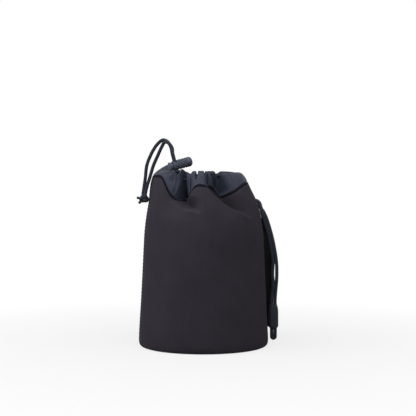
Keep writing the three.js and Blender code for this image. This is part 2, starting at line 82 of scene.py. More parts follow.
# Stage: the camera, the lamps with their places, widths and watts, the sky's light, and the paper, which is less
# white near the pouch so that the shadow shows
CAMERA_LENS = 78.5
CAMERA_SENSOR = 36
CAMERA_PLACE = (3.6 * MM, -735 * MM, 111 * MM)
LAMPS = (
    ("top", (0.0, -0.2, 0.44), 0.45, 2.0),
    ("left", (-0.55, -0.2, 0.45), 0.4, 3.1),
    ("right", (0.55, -0.25, 0.45), 0.4, 1.0),
)
LAMP_AIM = (0, 0, 0.07)
WHITE = (1, 1, 1, 1)
SKY_COLOUR = (0.95, 0.97, 1.0, 1)
SKY_STRENGTH = 0.08
PAPER_HALF_WIDTH = 6.0
PAPER_COLOUR = (0.45, 0.45, 0.45, 1)
PAPER_ROUGHNESS = 0.9
PAPER_FADE = (0.08, 0.35)
PAPER_WHITENESS = (0.8, 1.0)

# Finishes
SHEEN_ROUGHNESS = 0.45
NOISE_RANGE = (0.3, 0.7)

# Cup and neck
CORNER_RADIUS = 6.5 * MM
CORNER_POWER = 0.55
WALL_TAPER = 6.1 * MM
SHOULDER_LENGTH = 48 * MM
SHOULDER_DROP = 7 * MM
NECK_LEAN = -2.3 * MM
NECK_LEAN_LENGTH = 21 * MM
NECK_TILT = 2.4 * MM
FOLD_LENGTH = 45 * MM
FOLD_WIDTH = 15
FOLD_EASE = 0.25
NECK_FOLDS = ((-25, 1.0), (28, 0.85), (148, 0.8), (-172, 0.95), (-132, 0.85))

# How far the drawstring pulls the collar seam down: azimuth, share of the fold dip, half widths before and
# after it in degrees, and the power of the curve
SEAM_DROPS = (
    (-31, 1.12, 15.5, 20, 3), (4, 0.33, 22, 22, 2), (34, 0.8, 14, 20, 1.5),
    (148, 0.8, 15, 15, 2), (-172, 0.95, 15, 15, 2), (-132, 0.85, 15, 15, 2),
)

# Edges where the wall folds over itself, in degrees and millimetres: azimuth and height of both ends, sag of the
# middle, depth of the dent above the edge, and the distance over which it fades
CREASES = (
    (9, 127, 45.5, 107, 2.2, 11.0, 15.0),
    (-37, 118.5, -9, 109.6, 1.5, 10.0, 11.0),
    (144, 120, 163, 107, 1.0, 2.6, 8.0),
    (185, 118, 203, 106, 1.0, 2.8, 9.0),
    (226, 119, 246, 107, 1.0, 2.4, 8.0),
)

# Shares of a crease's length over which it starts and ends, the step at its edge in millimetres, the power of the
# dent's fade, and the roll below the edge: its share of the depth, and its drop and width in millimetres
CREASE_START = (-0.15, 0.3)
CREASE_END = (0.75, 1.3)
CREASE_STEP = (-1.8, 1.2)
CREASE_FADE_POWER = 1.2
CREASE_ROLL = 0.1
CREASE_ROLL_DROP = 2.0
CREASE_ROLL_WIDTH = 3.0

# Slow unevenness of the wall: millimetres, waves round it, waves up it and start in radians
BELLY = (0.30, 2, 0.7)
SWELLS = ((0.22, 3, 2.0, 0.0), (0.12, 5, -3.0, 1.0))
SWELL_HEIGHTS = (8 * MM, 40 * MM)

# Stitches: length, pitch and thickness
SIDE_STITCH = (2.1 * MM, 2.9 * MM, 0.5 * MM)
BASE_STITCH = (2.2 * MM, 3.0 * MM, 0.45 * MM)
BELT_STITCH = (1.5 * MM, 2.0 * MM, 0.45 * MM)
TAB_STITCH = (1.3 * MM, 1.7 * MM, 0.45 * MM)
STITCH_RISE = 0.35

# Side seam and lining
SIDE_SEAM_AZIMUTHS = (-89.2, -84.8)
SIDE_SEAM_BOTTOM = 9 * MM
SIDE_SEAM_DROP = 3 * MM
LINING_DROP = 3.5 * MM
LINING_THICKNESS = 1.2 * MM

# Collar
PIPING_RADIUS = 0.9 * MM
PIPING_RISE = 1.1 * MM
PIPING_DEPTH = 0.8 * MM
COLLAR_RISE = 2.2 * MM
COLLAR_THICKNESS = 0.8 * MM
HEM_RISE = 3.4 * MM
HEM_TUBE = 3.2 * MM
HEM_START = 70
HEM_END = 285
HEM_LIFT = 6.1 * MM
HEM_LIFT_AZIMUTH = -88
HEM_LIFT_WIDTH = 26
HEM_DIP = 1.3 * MM
HEM_DIP_WIDTH = 14
LIP_RISE = 6 * MM
LIP_AZIMUTH = -36
LIP_WIDTH = 9
SLACK_AZIMUTH = -82
SLACK_WIDTH = 42
GROOVE_DEPTH = 2.4 * MM
GROOVE_AZIMUTH = 58
GROOVE_WIDTH = 26
GROOVE_PLACE = 0.84
GROOVE_HEIGHT = 0.09

# Columns of the collar's cloth: azimuths and steps between them
COLLAR_SPANS = ((-180, -60, 150), (-60, 50, 420), (50, 180, 170))

# How a gather draws the hem in and down and pinches it, and the hem's fine ripple
HEM_PUFF = 0.4 * MM
HEM_PULL_IN = 0.45
HEM_PULL_DOWN = 0.65
HEM_PINCH = 0.22
HEM_PINCH_DEPTH = 4 * MM
RIPPLE_DEPTH = 0.22 * MM
RIPPLE_WAVES = 67
RIPPLE_SHIFT = 2
RIPPLE_SHIFT_WAVES = 3

# Handles of the skirt's curve, with what its fullness adds, and how its gathers lean and ease along it
SKIRT_RISE = 2.2 * MM
SKIRT_RISE_FULL = 3.3 * MM
SKIRT_REACH = 5 * MM
SKIRT_CROWN = -2.5 * MM
SKIRT_CROWN_FULL = 4.1 * MM
GATHER_LEAN = 25
GATHER_LEAN_MORE = 35
GATHER_EASE_IN = (0.0, 0.14)
GATHER_EASE_OUT = (0.78, 1.0)
GATHER_POWER = 3.2
GATHER_RUN = (0.9, 1.25)

# Gathers of the collar: azimuth at the hem and at the seam, depth in millimetres of the hem and of the skirt,
# half width in degrees at the hem and at the seam, and the share of the skirt that the fold runs down. A depth
# under zero is a ridge
GATHERS = (
    (-24, -30.5, 2.0, 5.8, 0.9, 4.8, 1.0), (-26, -38, 0.0, -3.2, 1.3, 1.9, 1.0),
    (-35, -46, 0.3, 2.8, 3.8, 4.6, 0.75), (-39, -39, -2.8, 0.0, 6.5, 6.5, 0.2), (-18, -18, 2.4, 0.5, 4.5, 4.0, 0.2),
    (-5.6, -8, 4.8, 1.2, 1.5, 2.0, 0.25), (6.9, 6, 1.8, 0.8, 1.2, 1.6, 0.25),
    (10.8, 25, 1.2, 3.4, 0.9, 1.2, 1.0), (16, 29.5, 1.4, 3.4, 0.9, 1.2, 1.0), (30, 36, 2.6, 4.6, 5.2, 4.6, 1.0),
    (82, 84, 0.8, 0.6, 3.0, 3.0, 0.4), (100, 98, 1.8, 1.3, 2.6, 2.6, 0.5), (118, 117, 1.8, 1.3, 2.4, 2.4, 0.5),
    (134, 138, 2.1, 1.7, 2.2, 2.6, 0.7), (144, 147, 3.6, 4.4, 2.2, 4.6, 1.0), (153, 151, 2.2, 1.8, 1.8, 2.0, 0.9),
    (166, 167, 2.1, 1.6, 2.2, 2.2, 0.4), (176, 180, 2.2, 1.8, 2.0, 2.2, 0.8), (186, 187, 4.0, 5.0, 2.2, 5.0, 1.0),
    (195, 191, 2.2, 1.8, 1.8, 2.0, 0.9), (206, 207, 1.9, 1.5, 2.2, 2.2, 0.4), (217, 221, 2.1, 1.7, 2.0, 2.2, 0.8),
    (227, 228, 3.8, 4.8, 2.2, 4.8, 1.0), (236, 232, 2.1, 1.7, 1.8, 2.0, 0.9), (249, 250, 1.6, 1.2, 2.6, 2.6, 0.4),
)

# Drawstring
EXIT_AZIMUTH = -42
STRING_END_DEPTH = 0.4 * MM
STRING_EXIT_TURN = 12
STRING_BEND = 0.3
EYELET_BORE = 2.55 * MM
EYELET_RIM = 3.75 * MM
EYELET_THICKNESS = 0.7 * MM

# Braids: sides of the tube, plaits round it, their pitch and their relief
STRING_PITCH = 1.7 * MM
CARRY_PITCH = 2.2 * MM
HEM_BRAID = (12, 3, STRING_PITCH, 0.06 * MM)
TAIL_BRAID = (16, 4, STRING_PITCH, 0.08 * MM)
KNOT_BRAID = (14, 4, STRING_PITCH, 0.08 * MM)
CARRY_BRAID = (16, 4, CARRY_PITCH, 0.13 * MM)
SMOOTH_WIRE = (10, 1, 1.0, 0.0)
CORD_FUZZ = 0.13 * MM
HEM_STEP = 0.5 * MM
TAIL_STEP = 0.25 * MM
KNOT_STEP = 0.3 * MM
CARRY_STEP = 0.3 * MM

# Tails: shares of the straight part that the lock slides on, how the loose part swells after it, and the loose
# part's route as azimuths, and millimetres outside the wall and over its top edge
TAIL_HELD = (0, 0.5, 0.92, 1.04)
TAIL_SWELL = 0.18 * MM
TAIL_SWELL_START = 1 * MM
TAIL_SWELL_END = 4 * MM
FRONT_TAIL = (
    (-46.1, -8.3, 24.8), (-50.8, -6.5, 29.2), (-55.6, -5.1, 30.0), (-60.6, -3.7, 26.0),
    (-65.7, -1.8, 19.4), (-70.4, 0.7, 11.8), (-74.1, 3.1, 2.0), (-76.2, 3.8, -5.5), (-76.6, 4.2, -11.0),
)
BACK_TAIL = (
    (-53.0, -9.8, 26.0), (-59.0, -8.3, 30.8), (-64.4, -5.9, 32.0), (-68.3, -2.8, 29.4),
    (-71.3, 0.2, 24.8), (-74.1, 2.8, 19.0), (-76.3, 5.1, 12.0), (-78.1, 6.2, 1.0), (-79.8, 5.7, -11.1),
)
KNOT_SIZE = (4.0 * MM, 3.2 * MM, 3.9 * MM)
KNOT_TAIL = 1.8 * MM
KNOT_STRAND = 0.8
KNOT_OVERLAP = 0.7 * MM
KNOT_END_SAG = 0.3 * MM
KNOT_ENDS = (("knot_end_front", (-1, -0.15, 0.1)), ("knot_end_back", (-0.85, 0.2, -0.75)))
TREFOIL_HALF_SIZE = (2.75, 1.0, 2.6)

# Cord lock, measured along its axis from the cords' crossing
LOCK_TILT = 15
LOCK_YAW = 20
LOCK_LENGTH = 19.5 * MM
LOCK_RADIUS = 3.9 * MM
LOCK_WALL = 0.65 * MM
LOCK_LIP = 0.9 * MM
LOCK_EDGE = 0.5 * MM
LOCK_DOME = 2.6 * MM
LOCK_DOME_POWER = 0.8
LOCK_END_WALL = 1.6 * MM
LOCK_SLIDE = 5.5 * MM
PLUNGER_HEAD = 1.4 * MM
PLUNGER_RADIUS = 3.4 * MM
PLUNGER_TRAVEL = 1.4 * MM
PLUNGER_END = 1.5 * MM
PLUNGER_CHAMFER = 0.2 * MM
KNURL_DEPTH = 0.5 * MM
KNURL_COUNT = 9
KNURL_PITCH = 2.7 * MM
KNURL_SINK = 0.7
KNURL_FADE = 0.6 * MM
KNURL_START = 1.2 * MM
KNURL_END = 4.4 * MM
SPRING_WIRE = 0.5 * MM
SPRING_RADIUS = 2.1 * MM
SPRING_TURNS = 6

# Belt loop
LOOP_AZIMUTH = 108
LOOP_WIDTH = 20 * MM
LOOP_THICKNESS = 1.4 * MM
LOOP_GAP = 5 * MM
LOOP_BOTTOM = 14 * MM
LOOP_TOP = 103 * MM
LOOP_SEWN = 10 * MM
LOOP_RAMP = 17 * MM
LOOP_TOP_SEWN = 6 * MM
LOOP_TOP_RAMP = 12 * MM
LOOP_MIDDLE = 57.5 * MM
LOOP_RIB_DEPTH = 0.07
LOOP_RIB_PITCH = 1.3 * MM
LOOP_STITCH_MARGIN = 1.4 * MM
LOOP_STITCH_INSET = 2 * MM
LOOP_STITCH_LIFT = 0.53

# Carry cord, tab and slider
TAB_AZIMUTH = 125
TAB_DROP = 4.8 * MM
TAB_WIDTH = 9 * MM
TAB_LENGTH = 8 * MM
TAB_LAYER = 0.65 * MM
TAB_ROUND_END = 1.4 * MM
TAB_SQUEEZE = 0.35
TAB_HOLD = 2 * MM
TAB_STITCH_ROWS = (0.28, -0.22)
TAB_STITCH_REACH = 0.42
TAB_STITCH_LIFT = 0.02 * MM

# Strands from the tab to the slider and back, routed as the tails are, the heights of their straight parts over
# the slider's top in millimetres, and the turns of the fold below it
INNER_STRAND = (
    (116, 2.0, -15.0), (106, 1.7, -15.8), (95, 1.5, -17.6), (84, 1.4, -21.5), (82, 1.5, -27), (83.5, 2.2, -33),
    (84.4, 3.5, -39.5), (85, 4.8, -46.5), (85.3, 6.0, -55), (85.3, 6.9, -64), (85.3, 6.0, -75), (85.3, 6.1, -84),
)
OUTER_STRAND = (
    (85.6, 9.2, -78), (85.6, 9.6, -66), (85.7, 8.6, -55), (86.2, 7.2, -46), (87.3, 5.8, -38.5),
    (89.6, 4.6, -31.5), (94, 3.5, -26), (101, 2.8, -22.4), (109, 2.3, -20), (119.5, 2.0, -17.9),
)
STRAIGHT_RISES = (5, -5, -17, -24)
CARRY_FOLD_TURNS = (150, 120, 90, 60, 30)
CARRY_FOLD_BOTTOM = 6.2 * MM
SLIDER_AZIMUTH = 85.4
SLIDER_STAND_OFF = 4.2 * MM
SLIDER_BOTTOM = 14.2 * MM
SLIDER_LENGTH = 19 * MM
SLIDER_END_WALL = 1 * MM
SLIDER_SIDE_WALL = 1.55 * MM
SLIDER_LIP = 0.175 * MM

# Narrowing of the slider's ends: share of its length, share of its width, and power
SLIDER_FOOT = (0.14, 0.30, 2.2)
SLIDER_HEAD = (0.38, 0.26, 2.4)

# Floor
PAD_THICKNESS = 3 * MM
FLOOR_LINING = 1 * MM
TAPE_THICKNESS = 0.8 * MM
TAPE_WIDTH = 4.5 * MM
TAPE_BEND = 1.6 * MM
BASE_SEAM_REACH = 2.2 * MM
BASE_SEAM_LIFT = 0.05 * MM
BASE_SEAM_SLOPE = 0.3


def length_property(name, description, default, least):
    return bpy.props.FloatProperty(
        name=name, description=description, default=default, min=least, unit="LENGTH")


class PouchSizes(bpy.types.PropertyGroup):
    """Sizes of the pouch that a user would change."""

    base_radius: length_property(
        "Base radius", "Outside radius of the cup at the floor", 0.5 * (SHELL_HIGH.x - SHELL_LOW.x), 0.02)
    wall_height: length_property(
        "Wall height", "Height of the neoprene wall before the drawstring is pulled", 133 * MM, 0.06)
    wall_thickness: length_property("Wall thickness", "Thickness of the neoprene", 4.5 * MM, 0.001)
    fold_depth: length_property("Fold depth", "How far the deepest fold pulls the neck in", 6.5 * MM, 0)
    fold_dip: length_property("Fold dip", "How far the deepest fold pulls the collar seam down", 15.5 * MM, 0)
    hem_radius: length_property("Hem radius", "Radius of the drawstring's run in the hem", 26 * MM, 0.005)
    string_diameter: length_property("Drawstring", "Diameter of the drawstring", 2.1 * MM, 0.0005)
    carry_diameter: length_property("Carry cord", "Diameter of the carry cord", 2.5 * MM, 0.0005)


def colour_property(name, description, default):
    return bpy.props.FloatVectorProperty(
        name=name, description=description, default=default, subtype="COLOR", size=3, min=0, max=1)


class PouchColours(bpy.types.PropertyGroup):
    """Colours of the pouch's materials."""

    neoprene: colour_property("Neoprene", "Knit face of the wall", (0.030, 0.0268, 0.0352))
    nylon: colour_property("Nylon", "Woven cloth of the collar", (0.027, 0.031, 0.046))
    # The tape's near-black is partly the piping's own colour and partly painted shade for the shadowed groove along
    # the collar seam.
    tape: colour_property("Tape", "Seam piping and binding", (0.006, 0.006, 0.009))
    cord: colour_property("Cord", "Braid of the drawstring and carry cord", (0.023, 0.026, 0.036))
    webbing: colour_property("Webbing", "Belt loop and tab", (0.016, 0.017, 0.022))
    plastic: colour_property("Plastic", "Cord lock, eyelet and slider", (0.050, 0.057, 0.077))
    plush: colour_property("Plush", "Lining of the pocket", (0.014, 0.014, 0.016))
    foam: colour_property("Foam", "Pad in the floor", (0.04, 0.04, 0.043))
    thread: colour_property("Thread", "Stitches", (0.02, 0.0195, 0.023))
    steel: colour_property("Steel", "Spring of the cord lock", (0.5, 0.5, 0.51))


def smoothstep(x, low, high):
    t = np.clip((x - low) / (high - low), 0.0, 1.0)
    return t * t * (3.0 - 2.0 * t)


def turn_between(a, b):
    return (a - b + 180.0) % 360.0 - 180.0


def bell(azimuth, middle, width):
    return np.exp(-((turn_between(azimuth, middle) / width) ** 2))


def unit(vectors):
    return vectors / np.linalg.norm(vectors, axis=-1, keepdims=True)


def around(azimuth, radius, height, shift=0.0):
    angle = np.radians(np.asarray(azimuth, float))
    x, y, z = np.broadcast_arrays(shift + radius * np.sin(angle), -radius * np.cos(angle), height)
    return np.stack([x, y, z], axis=-1)


class PouchForm:
    """The pouch's surfaces, as points for azimuths and heights."""

    def __init__(self, sizes):
        self.radius = sizes.base_radius
        self.height = sizes.wall_height
        self.thickness = sizes.wall_thickness
        self.fold_depth = sizes.fold_depth
        self.fold_dip = sizes.fold_dip
        self.hem_radius = sizes.hem_radius

    def fold(self, azimuth):
        return sum(strength * bell(azimuth, place, FOLD_WIDTH) for place, strength in NECK_FOLDS)

    def wall_radius(self, z):
        taper = WALL_TAPER * np.clip(z - CORNER_RADIUS, 0, None) / (self.height - CORNER_RADIUS)
        shoulder = np.clip(z - self.height + SHOULDER_LENGTH, 0, None) / SHOULDER_LENGTH
        return self.radius - taper - SHOULDER_DROP * shoulder**2

    def lean(self, z):
        return NECK_LEAN * smoothstep(z, self.height - NECK_LEAN_LENGTH, self.height)

    def seam_drop(self, azimuth):
        """How far the collar seam is pulled down by the drawstring."""
        total = 0.0
        for place, share, before, after, power in SEAM_DROPS:
            turn = turn_between(azimuth, place)
            width = np.where(turn < 0, before, after)
            total = total + share * np.exp(-((np.abs(turn) / width) ** power))
        return self.fold_dip * total

    def creases(self, azimuth, height):
        """Rise of the wall along the edges where it folds over itself, and its dent above them."""
        rise = 0.0
        for start_turn, start_z, end_turn, end_z, sag, depth, fade in CREASES:
            across = np.radians(turn_between(azimuth, start_turn)) * self.radius / MM
            up = height / MM - start_z
            run = np.array([math.radians(end_turn - start_turn) * self.radius / MM, end_z - start_z])
            length = float(np.hypot(*run))
            share = (across * run[0] + up * run[1]) / length**2
            middle = np.clip(share, 0, 1)
            above = (up * run[0] - across * run[1]) / length + 4 * sag * middle * (1 - middle)
            ends = smoothstep(share, *CREASE_START) * (1.0 - smoothstep(share, *CREASE_END))
            dent = smoothstep(above, *CREASE_STEP) * np.clip(1 - above / fade, 0, 1) ** CREASE_FADE_POWER
            roll = CREASE_ROLL * np.exp(-(((above + CREASE_ROLL_DROP) / CREASE_ROLL_WIDTH) ** 2))
            rise = rise + depth * MM * ends * (roll - dent)
        return rise

    def swells(self, azimuth, height):
        """Slow unevenness of the padded wall."""
        turn = np.radians(azimuth)
        level = math.pi * height / self.height
        size, count, start = BELLY
        waves = size * np.sin(count * turn + start) * np.sin(level)
        for size, count, climb, start in SWELLS:
            waves = waves + size * np.sin(count * turn + climb * level + start)
        return MM * waves * smoothstep(height, *SWELL_HEIGHTS)

    def wall(self, azimuth, z):
        share = np.clip(z - self.height + FOLD_LENGTH, 0, None) / FOLD_LENGTH
        fold = self.fold(azimuth)
        tilt = NECK_TILT * np.sin(np.radians(azimuth))
        height = z - (self.seam_drop(azimuth) + tilt) * share**2
        radius = self.wall_radius(z) - self.fold_depth * fold * smoothstep(share, FOLD_EASE, 1.0)
        radius = radius + self.creases(azimuth, height) + self.swells(azimuth, height)
        return around(azimuth, radius, height, self.lean(z))

    def wall_frame(self, azimuth, z):
        """Points of the wall with the directions up, along and out of it."""
        step = 0.05
        point = self.wall(azimuth, z)
        up = unit(self.wall(azimuth, z + step * MM) - self.wall(azimuth, z - step * MM))
        along = unit(self.wall(azimuth + step, z) - self.wall(azimuth - step, z))
        return point, up, along, unit(np.cross(along, up))

    def behind_wall(self, azimuth, z, depth):
        point, _, _, out = self.wall_frame(azimuth, z)
        return point - depth * out

    def beside_wall(self, place):
        """A cord's point: azimuth, and millimetres outside the wall and over its top edge."""
        azimuth, stand_off, rise = place
        wall_z = self.height + min(0.0, rise) * MM
        radius = self.wall_radius(wall_z) + stand_off * MM
        return around(azimuth, radius, self.height + rise * MM, self.lean(wall_z))

    def hem_centre(self, azimuth):
        lift = HEM_LIFT * bell(azimuth, HEM_LIFT_AZIMUTH, HEM_LIFT_WIDTH)
        dip = HEM_DIP * bell(azimuth, EXIT_AZIMUTH, HEM_DIP_WIDTH)
        return around(azimuth, self.hem_radius, self.height + HEM_RISE + lift - dip, NECK_LEAN)

    def gather(self, azimuth, share, at_hem=False):
        """Depth of the collar's gathers at a share of the way from the seam to the hem."""
        depth = 0.0
        for hem_turn, seam_turn, hem_deep, skirt_deep, hem_width, seam_width, reach in GATHERS:
            centre = seam_turn + (hem_turn - seam_turn) * share
            width = seam_width + (hem_width - seam_width) * share
            away = np.abs(turn_between(azimuth, centre)) / width
            run = smoothstep(share, GATHER_RUN[0] - reach, GATHER_RUN[1] - reach)
            depth = depth + (hem_deep if at_hem else skirt_deep) * MM * run * np.exp(-(away**GATHER_POWER))
        return depth


class LockFrame:
    """Directions and stations of the cord lock where the drawstring leaves the hem."""

    def __init__(self, form, string_diameter):
        yaw, tilt = math.radians(LOCK_YAW), math.radians(LOCK_TILT)
        self.along = np.array([
            math.cos(yaw) * math.cos(tilt), math.sin(yaw) * math.cos(tilt), math.sin(tilt)])
        self.across = np.array([-math.sin(yaw), math.cos(yaw), 0.0])
        self.up = np.cross(self.along, self.across)
        self.exit = form.hem_centre(EXIT_AZIMUTH)
        self.spacing = string_diameter + CLEARANCE
        self.eyelet_rise = HEM_TUBE + EYELET_RIM * math.sin(tilt) + 2 * CLEARANCE
        self.rise = self.eyelet_rise + EYELET_THICKNESS + CLEARANCE + LOCK_RADIUS
        self.cord_room = 0.5 * string_diameter + CLEARANCE
        self.mouth = -(self.cord_room + LOCK_LIP)
        self.head_end = self.mouth - PLUNGER_TRAVEL - CLEARANCE - PLUNGER_HEAD
        self.round_end = self.head_end + LOCK_LENGTH
        self.bore_half_width = 0.5 * self.spacing + self.cord_room
        self.cavity_radius = LOCK_RADIUS - LOCK_WALL
        self.stem_radius = self.cavity_radius - CLEARANCE
        self.stem_end = self.cord_room + PLUNGER_END
        self.cavity_end = self.round_end - LOCK_END_WALL
        self.run_end = HEM_TUBE - STRING_END_DEPTH
        self.tail_start = self.run_end + CLEARANCE
        self.tail_top = self.rise + LOCK_RADIUS + LOCK_SLIDE

    def place(self, points, rise):
        """Points drawn along the lock's axis, moved to a rise over the cords' exit."""
        axes = np.stack([self.along, self.across, self.up])
        return self.exit + rise * self.up + np.asarray(points) @ axes

    def strand(self, side, rise):
        return self.exit + 0.5 * side * self.spacing * self.across + rise * self.up


def route_curve(points, per_span):
    """A centripetal curve through a cord's points."""
    p = np.asarray(points, float)
    p = np.vstack([2 * p[0] - p[1], p, 2 * p[-1] - p[-2]])
    out = []
    for i in range(1, len(p) - 2):
        a, b, c, d = p[i - 1:i + 3]
        t0 = 0.0
        t1 = t0 + np.linalg.norm(b - a) ** 0.5
        t2 = t1 + np.linalg.norm(c - b) ** 0.5
        t3 = t2 + np.linalg.norm(d - c) ** 0.5
        t = np.linspace(t1, t2, per_span, endpoint=False)[:, None]
        ab = a + (b - a) * (t - t0) / (t1 - t0)
        bc = b + (c - b) * (t - t1) / (t2 - t1)
        cd = c + (d - c) * (t - t2) / (t3 - t2)
        abc = ab + (bc - ab) * (t - t0) / (t2 - t0)
        bcd = bc + (cd - bc) * (t - t1) / (t3 - t1)
        out.append(abc + (bcd - abc) * (t - t1) / (t2 - t1))
    return np.vstack(out + [p[-2:-1]])


def running_length(line):
    """Length of a line up to each of its points."""
    return np.concatenate([[0.0], np.cumsum(np.linalg.norm(np.diff(line, axis=0), axis=1))])


def at_places(places, run, values):
    """Rows of values at places along the line whose running length is given."""
    return np.stack([np.interp(places, run, values[:, i]) for i in range(3)], axis=-1)


def even_steps(line, step):
    """The same line with points a step apart."""
    run = running_length(line)
    places = np.linspace(0.0, run[-1], max(2, int(round(run[-1] / step)) + 1))
    return at_places(places, run, line)


def each_point(vector, line):
    """A vector, once for each point of a line."""
    return np.tile(vector, (len(line), 1))


def quarter_turn(count):
    return np.linspace(0, 0.5 * math.pi, count)


def carried_frames(line):
    """Two directions square to a line, carried along it without twist."""
    tangent = unit(np.gradient(line, axis=0))
    start = np.cross(tangent[0], [0.0, 0.0, 1.0])
    if np.linalg.norm(start) < NEARLY_NOTHING:
        start = np.cross(tangent[0], [1.0, 0.0, 0.0])
    side = [unit(start)]
    for t in tangent[1:]:
        side.append(unit(side[-1] - t * np.dot(side[-1], t)))
    side = np.array(side)
    return side, np.cross(tangent, side)


def mesh_from(bm, name, smooth=True):
    """A new mesh from a bmesh, which it uses up."""
    mesh = bpy.data.meshes.new(name)
    bm.to_mesh(mesh)
    bm.free()
    mesh.polygons.foreach_set("use_smooth", [smooth] * len(mesh.polygons))
    return mesh


def grid_mesh(name, points, uv, fill_ends=False):
    """A mesh whose grid of rows and columns lies on the points, closed where the edges meet."""
    rows, columns = points.shape[:2]
    bm = bmesh.new()
    layer = bm.loops.layers.uv.new("UVMap")
    bmesh.ops.create_grid(bm, x_segments=columns - 1, y_segments=rows - 1, size=0.5)
    cells = {}
    for vert in bm.verts:
        column = int(round((vert.co.x + 0.5) * (columns - 1)))
        row = int(round((vert.co.y + 0.5) * (rows - 1)))
        cells[vert] = (row, column)
    for face in bm.faces:
        for loop in face.loops:
            loop[layer].uv = uv[cells[loop.vert]]
    for vert, cell in cells.items():
        vert.co = points[cell]
    bmesh.ops.remove_doubles(bm, verts=bm.verts, dist=MERGE_DISTANCE)
    if fill_ends:
        rims = [edge for edge in bm.edges if edge.is_boundary]
        bmesh.ops.holes_fill(bm, edges=rims, sides=0)
    return mesh_from(bm, name)


def lay_out(points):
    """UV lengths in metres along the columns and rows of a grid of points."""
    across = np.linalg.norm(np.diff(points, axis=1), axis=2).mean(axis=0)
    along = np.linalg.norm(np.diff(points, axis=0), axis=2).mean(axis=1)
    u = np.concatenate([[0.0], np.cumsum(across)])
    v = np.concatenate([[0.0], np.cumsum(along)])
    return np.stack(np.meshgrid(u, v), axis=-1)


def sweep(line, side, normal, section):
    """A grid of points: a closed section carried along a line."""
    ring = np.vstack([section, section[:1]])
    return (line[:, None] + ring[None, :, :1] * side[:, None] + ring[None, :, 1:] * normal[:, None])


def rounded_section(half_width, half_height, power, count):
    """A rounded rectangle as a superellipse."""
    angle = np.linspace(0, 2 * math.pi, count, endpoint=False)
    c, s = np.cos(angle), np.sin(angle)
    x = half_width * np.sign(c) * np.abs(c) ** (2 / power)
    y = half_height * np.sign(s) * np.abs(s) ** (2 / power)
    return np.stack([x, y], axis=1)


def braided_tube(line, radius, braid):
    """A cord with the staggered bumps of its braid."""
    sides, plaits, pitch, relief = braid
    side, normal = carried_frames(line)
    angle = np.linspace(0, 2 * math.pi, sides + 1)
    length = running_length(line)
    bumps = np.cos(plaits * angle)[None, :] * np.cos(2 * math.pi * length / pitch)[:, None]
    reach = radius + relief * bumps
    points = line[:, None] + reach[..., None] * (
        np.cos(angle)[None, :, None] * side[:, None] + np.sin(angle)[None, :, None] * normal[:, None])
    turns = np.broadcast_to(angle / (2 * math.pi), bumps.shape)
    runs = np.broadcast_to(length[:, None], bumps.shape)
    return points, np.stack([turns, runs], axis=-1)


def turned(profile, steps):
    """A grid of points: a profile of radius and height turned round the axis."""
    profile = np.asarray(profile, float)
    azimuth = np.linspace(0, 360, steps + 1)
    return around(azimuth[None, :], profile[:, :1], profile[:, 1:])


def rounded_disc(radius, low, high, edge):
    """Profile of a disc with round edges, from the axis below to the axis above."""
    arc = quarter_turn(6)
    below = [(radius - edge + edge * math.sin(a), low + edge - edge * math.cos(a)) for a in arc]
    above = [(radius - edge + edge * math.cos(a), high - edge + edge * math.sin(a)) for a in arc]
    inside = np.linspace(0, radius - edge, 12)[:-1]
    return [(r, low) for r in inside] + below + above + [(r, high) for r in inside[::-1]]


class NodeTree:
    """The nodes of a material or a world under way."""

    def __init__(self, tree):
        self.tree = tree

    def node(self, kind, inputs=None, **settings):
        made = self.tree.nodes.new(kind)
        for key, value in settings.items():
            setattr(made, key, value)
        for key, value in (inputs or {}).items():
            if isinstance(value, bpy.types.NodeSocket):
                self.tree.links.new(value, made.inputs[key])
            else:
                made.inputs[key].default_value = value
        return made

    def combine(self, operation, a, b=0.0):
        return self.node("ShaderNodeMath", {0: a, 1: b}, operation=operation).outputs[0]

    def remap(self, value, source, target):
        made = self.node("ShaderNodeMapRange", {
            "Value": value, "From Min": source[0], "From Max": source[1], "To Min": target[0], "To Max": target[1]})
        return made.outputs["Result"]

    def mix_shaders(self, share, first, second, output):
        mix = self.node("ShaderNodeMixShader", {"Fac": share, 1: first.outputs[0], 2: second.outputs[0]})
        self.tree.links.new(mix.outputs[0], self.tree.nodes[output].inputs["Surface"])

    def background_rays(self):
        """One for rays that should meet the white background."""
        path = self.node("ShaderNodeLightPath").outputs
        total = path["Is Camera Ray"]
        for name in ("Is Glossy Ray", "Is Transmission Ray"):
            total = self.combine("MAXIMUM", total, path[name])
        return total


